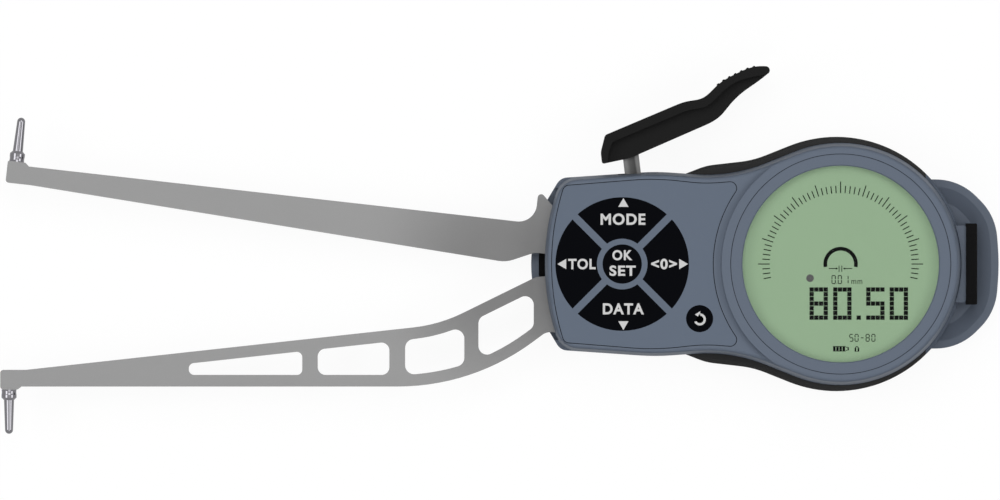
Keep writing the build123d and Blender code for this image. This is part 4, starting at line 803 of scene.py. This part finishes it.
def lining(name, node, lines_it, thickness, proud, material):
    """Lines with dark walls, as painted shade, the side faces of a node that a test picks; if proud, the walls
    end that far above the node.
    """
    shape = bmesh.new()
    shape.from_mesh(nodes[node].data)
    bmesh.ops.remove_doubles(shape, verts=shape.verts, dist=merge_distance * MM)
    others = [face for face in shape.faces if abs(face.normal.z) > upright_limit or not lines_it(face)]
    bmesh.ops.delete(shape, geom=others, context="FACES")
    if proud:
        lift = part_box(node)[1].z + proud * MM - max(vertex.co.z for vertex in shape.verts)
        bmesh.ops.translate(shape, verts=shape.verts, vec=(0, 0, lift))
    mesh = bpy.data.meshes.new(name)
    shape.to_mesh(mesh)
    shape.free()
    holder = bpy.data.objects.new("holder", mesh)
    bpy.context.scene.collection.objects.link(holder)
    wall = holder.modifiers.new("wall", "SOLIDIFY")
    wall.thickness = thickness * MM
    wall.offset = 1.0
    wall.use_even_offset = True
    made = bpy.data.meshes.new_from_object(holder.evaluated_get(bpy.context.evaluated_depsgraph_get()))
    bpy.data.objects.remove(holder)
    link_mesh(name, made, material, body_of[node])


def faces_display(face):
    """Whether a face looks towards the middle of the display."""
    middle = face.calc_center_median()
    return face.normal.x * (display_x * MM - middle.x) - face.normal.y * middle.y > 0


def is_foil_edge(face):
    """Whether a side face of the foil is on its outer edge, and not round a key."""
    middle = face.calc_center_median() / MM
    from_centre = Vector((middle.x, middle.y)).length
    from_return = Vector((middle.x - return_place[0], middle.y - return_place[1])).length
    return from_centre > keys_radius and from_return > return_key_reach


def is_bezel_edge(face):
    """Whether a side face of the bezel is on its outer edge."""
    middle = face.calc_center_median() / MM
    return Vector((middle.x - display_x, middle.y)).length > bezel_reach


# Painted shade: dark walls in the seam beside the grips and in the grooves round the keypad foil and the bezel
lining("grip_seam_shade", "side_grips", faces_display, grip_seam_shade_width, None, seal_and_shade_black)
lining("keypad_groove_shade", "keypad_foil", is_foil_edge, keypad_groove_shade_width, groove_shade_rise, seal_and_shade_black)
lining("bezel_groove_shade", "display_bezel", is_bezel_edge, bezel_groove_shade_width, groove_shade_rise, seal_and_shade_black)


# Painted shade of the cross recesses in the screw heads on the back: flat dark crosses, their places found
# from the screws' own meshes

recess_length = 2.4
recess_width = 0.55
recess_depth = 0.02
recess_turns = (pi / 4, 3 * pi / 4)
cover_screw_share = 0.8
screws_apart = 6.0


def middle_of(spots):
    """Middle of the box round some flat spots."""
    low = Vector((min(spot.x for spot in spots), min(spot.y for spot in spots)))
    high = Vector((max(spot.x for spot in spots), max(spot.y for spot in spots)))
    return (low + high) / 2


def screw_middles(node):
    """Middles of the separate screws of a node."""
    groups = []
    for vertex in nodes[node].data.vertices:
        spot = Vector(vertex.co[:2])
        near = [group for group in groups if (group[0] - spot).length < screws_apart * MM]
        if near:
            near[0].append(spot)
        else:
            groups.append([spot])
    return [middle_of(group) for group in groups]


def screw_recess_shades(name, node, share):
    """Dark crosses under the heads of a node's screws, painting the shade of their recesses, as large as a
    share of the full size.
    """
    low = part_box(node)[0].z / MM
    points = []
    for middle in screw_middles(node):
        for turn in recess_turns:
            points.append((middle.x / MM, middle.y / MM, low, turn, 1.0))
    # Painted shade: a flat dark cross stands for each cross recess
    mesh = boxes(points, recess_length * share, recess_width * share, recess_depth, inner_black)
    link_mesh(name, mesh, inner_black, "housing")


screw_recess_shades("housing_screw_recess_shades", "housing_screws", 1.0)
screw_recess_shades("cover_screw_recess_shades", "battery_cover_screws", cover_screw_share)


# Camera at the photograph's angle: straight down, its picture 255 mm wide

lens = 800.0
sensor = 36.0
picture_width = 255.0
picture_middle = (-31.1, 3.57)
near_clip = 0.1
far_clip = 50.0
arm_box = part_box("movable_arm")


def main_camera():
    """Camera above the gauge whose picture width holds at the height of the arms."""
    data = bpy.data.cameras.new("camera")
    data.lens = lens
    data.sensor_width = sensor
    data.clip_start = near_clip
    data.clip_end = far_clip
    camera = bpy.data.objects.new("camera", data)
    bpy.context.scene.collection.objects.link(camera)
    x, y = picture_middle
    height = (arm_box[0].z + arm_box[1].z) / 2 + lens / sensor * picture_width * MM
    camera.location = (x * MM, y * MM, height)
    bpy.context.scene.camera = camera


# Stage and light, with distances in metres except for the floor's gap

floor_reach = 6.0
floor_gap = 0.2
lamp_distance = 1.2


def background_rays(tree):
    """Whether a ray comes from the camera, off a gloss or through a pane: it sees the white background."""
    path = tree.nodes.new("ShaderNodeLightPath")
    mirrored = maths(tree, "MAXIMUM", path.outputs["Is Glossy Ray"], path.outputs["Is Transmission Ray"])
    return maths(tree, "MAXIMUM", path.outputs["Is Camera Ray"], mirrored)


def stage_floor(albedo, seen_albedo, shown, share):
    """Floor: a plain grey for the light, near white where it is seen, with part of the shadow kept."""
    material = bpy.data.materials.new("pale_floor")
    material.use_nodes = True
    tree = material.node_tree
    shader = tree.nodes["Principled BSDF"]
    shader.inputs["Roughness"].default_value = 0.95
    shader.inputs["Specular IOR Level"].default_value = 0.0
    glow, mix = tree.nodes.new("ShaderNodeEmission"), tree.nodes.new("ShaderNodeMixShader")
    glow.inputs["Strength"].default_value = shown
    seen = background_rays(tree)
    colour = maths(tree, "MULTIPLY_ADD", seen, seen_albedo - albedo, albedo)
    tree.links.new(colour, shader.inputs["Base Color"])
    tree.links.new(maths(tree, "MULTIPLY", seen, share), mix.inputs["Fac"])
    tree.links.new(shader.outputs[0], mix.inputs[1])
    tree.links.new(glow.outputs[0], mix.inputs[2])
    tree.links.new(mix.outputs[0], tree.nodes["Material Output"].inputs["Surface"])
    level = cad_low.z - floor_gap * MM
    mesh = bpy.data.meshes.new("floor")
    corners = rectangle(-floor_reach, floor_reach, -floor_reach, floor_reach)
    mesh.from_pydata([(x, y, level) for x, y in corners], [], [(0, 1, 2, 3)])
    mesh.materials.append(material)
    floor = bpy.data.objects.new("floor", mesh)
    bpy.context.scene.collection.objects.link(floor)


def stage_world(light):
    """Dim even light for the object, white where it is seen."""
    world = bpy.data.worlds.new("studio")
    world.use_nodes = True
    tree = world.node_tree
    dim, bright = tree.nodes["Background"], tree.nodes.new("ShaderNodeBackground")
    mix = tree.nodes.new("ShaderNodeMixShader")
    dim.inputs["Color"].default_value = (1.0, 1.0, 1.0, 1.0)
    dim.inputs["Strength"].default_value = light
    bright.inputs["Color"].default_value = (1.0, 1.0, 1.0, 1.0)
    tree.links.new(background_rays(tree), mix.inputs["Fac"])
    tree.links.new(dim.outputs[0], mix.inputs[1])
    tree.links.new(bright.outputs[0], mix.inputs[2])
    tree.links.new(mix.outputs[0], tree.nodes["World Output"].inputs["Surface"])
    bpy.context.scene.world = world


def soft_lamp(turn, tilt, size, power):
    """Square lamp that faces the gauge, its direction from +X and from upright in degrees."""
    tilt, turn = radians(tilt), radians(turn)
    away = Vector((sin(tilt) * cos(turn), sin(tilt) * sin(turn), cos(tilt)))
    data = bpy.data.lights.new("lamp", "AREA")
    data.size = size
    data.energy = power
    lamp = bpy.data.objects.new("lamp", data)
    bpy.context.scene.collection.objects.link(lamp)
    lamp.location = away * lamp_distance
    lamp.visible_camera = False
    lamp.rotation_euler = away.to_track_quat("Z", "Y").to_euler()


main_camera()
stage_floor(albedo=0.18, seen_albedo=0.9, shown=1.03, share=0.9)
stage_world(light=0.15)
soft_lamp(turn=0, tilt=0, size=0.8, power=0.7)
soft_lamp(turn=0, tilt=43, size=0.5, power=2.9)
soft_lamp(turn=180, tilt=43, size=0.5, power=2.9)
soft_lamp(turn=90, tilt=22, size=0.7, power=4.0)
soft_lamp(turn=270, tilt=22, size=0.7, power=2.2)
bpy.context.scene.view_settings.view_transform = "Standard"
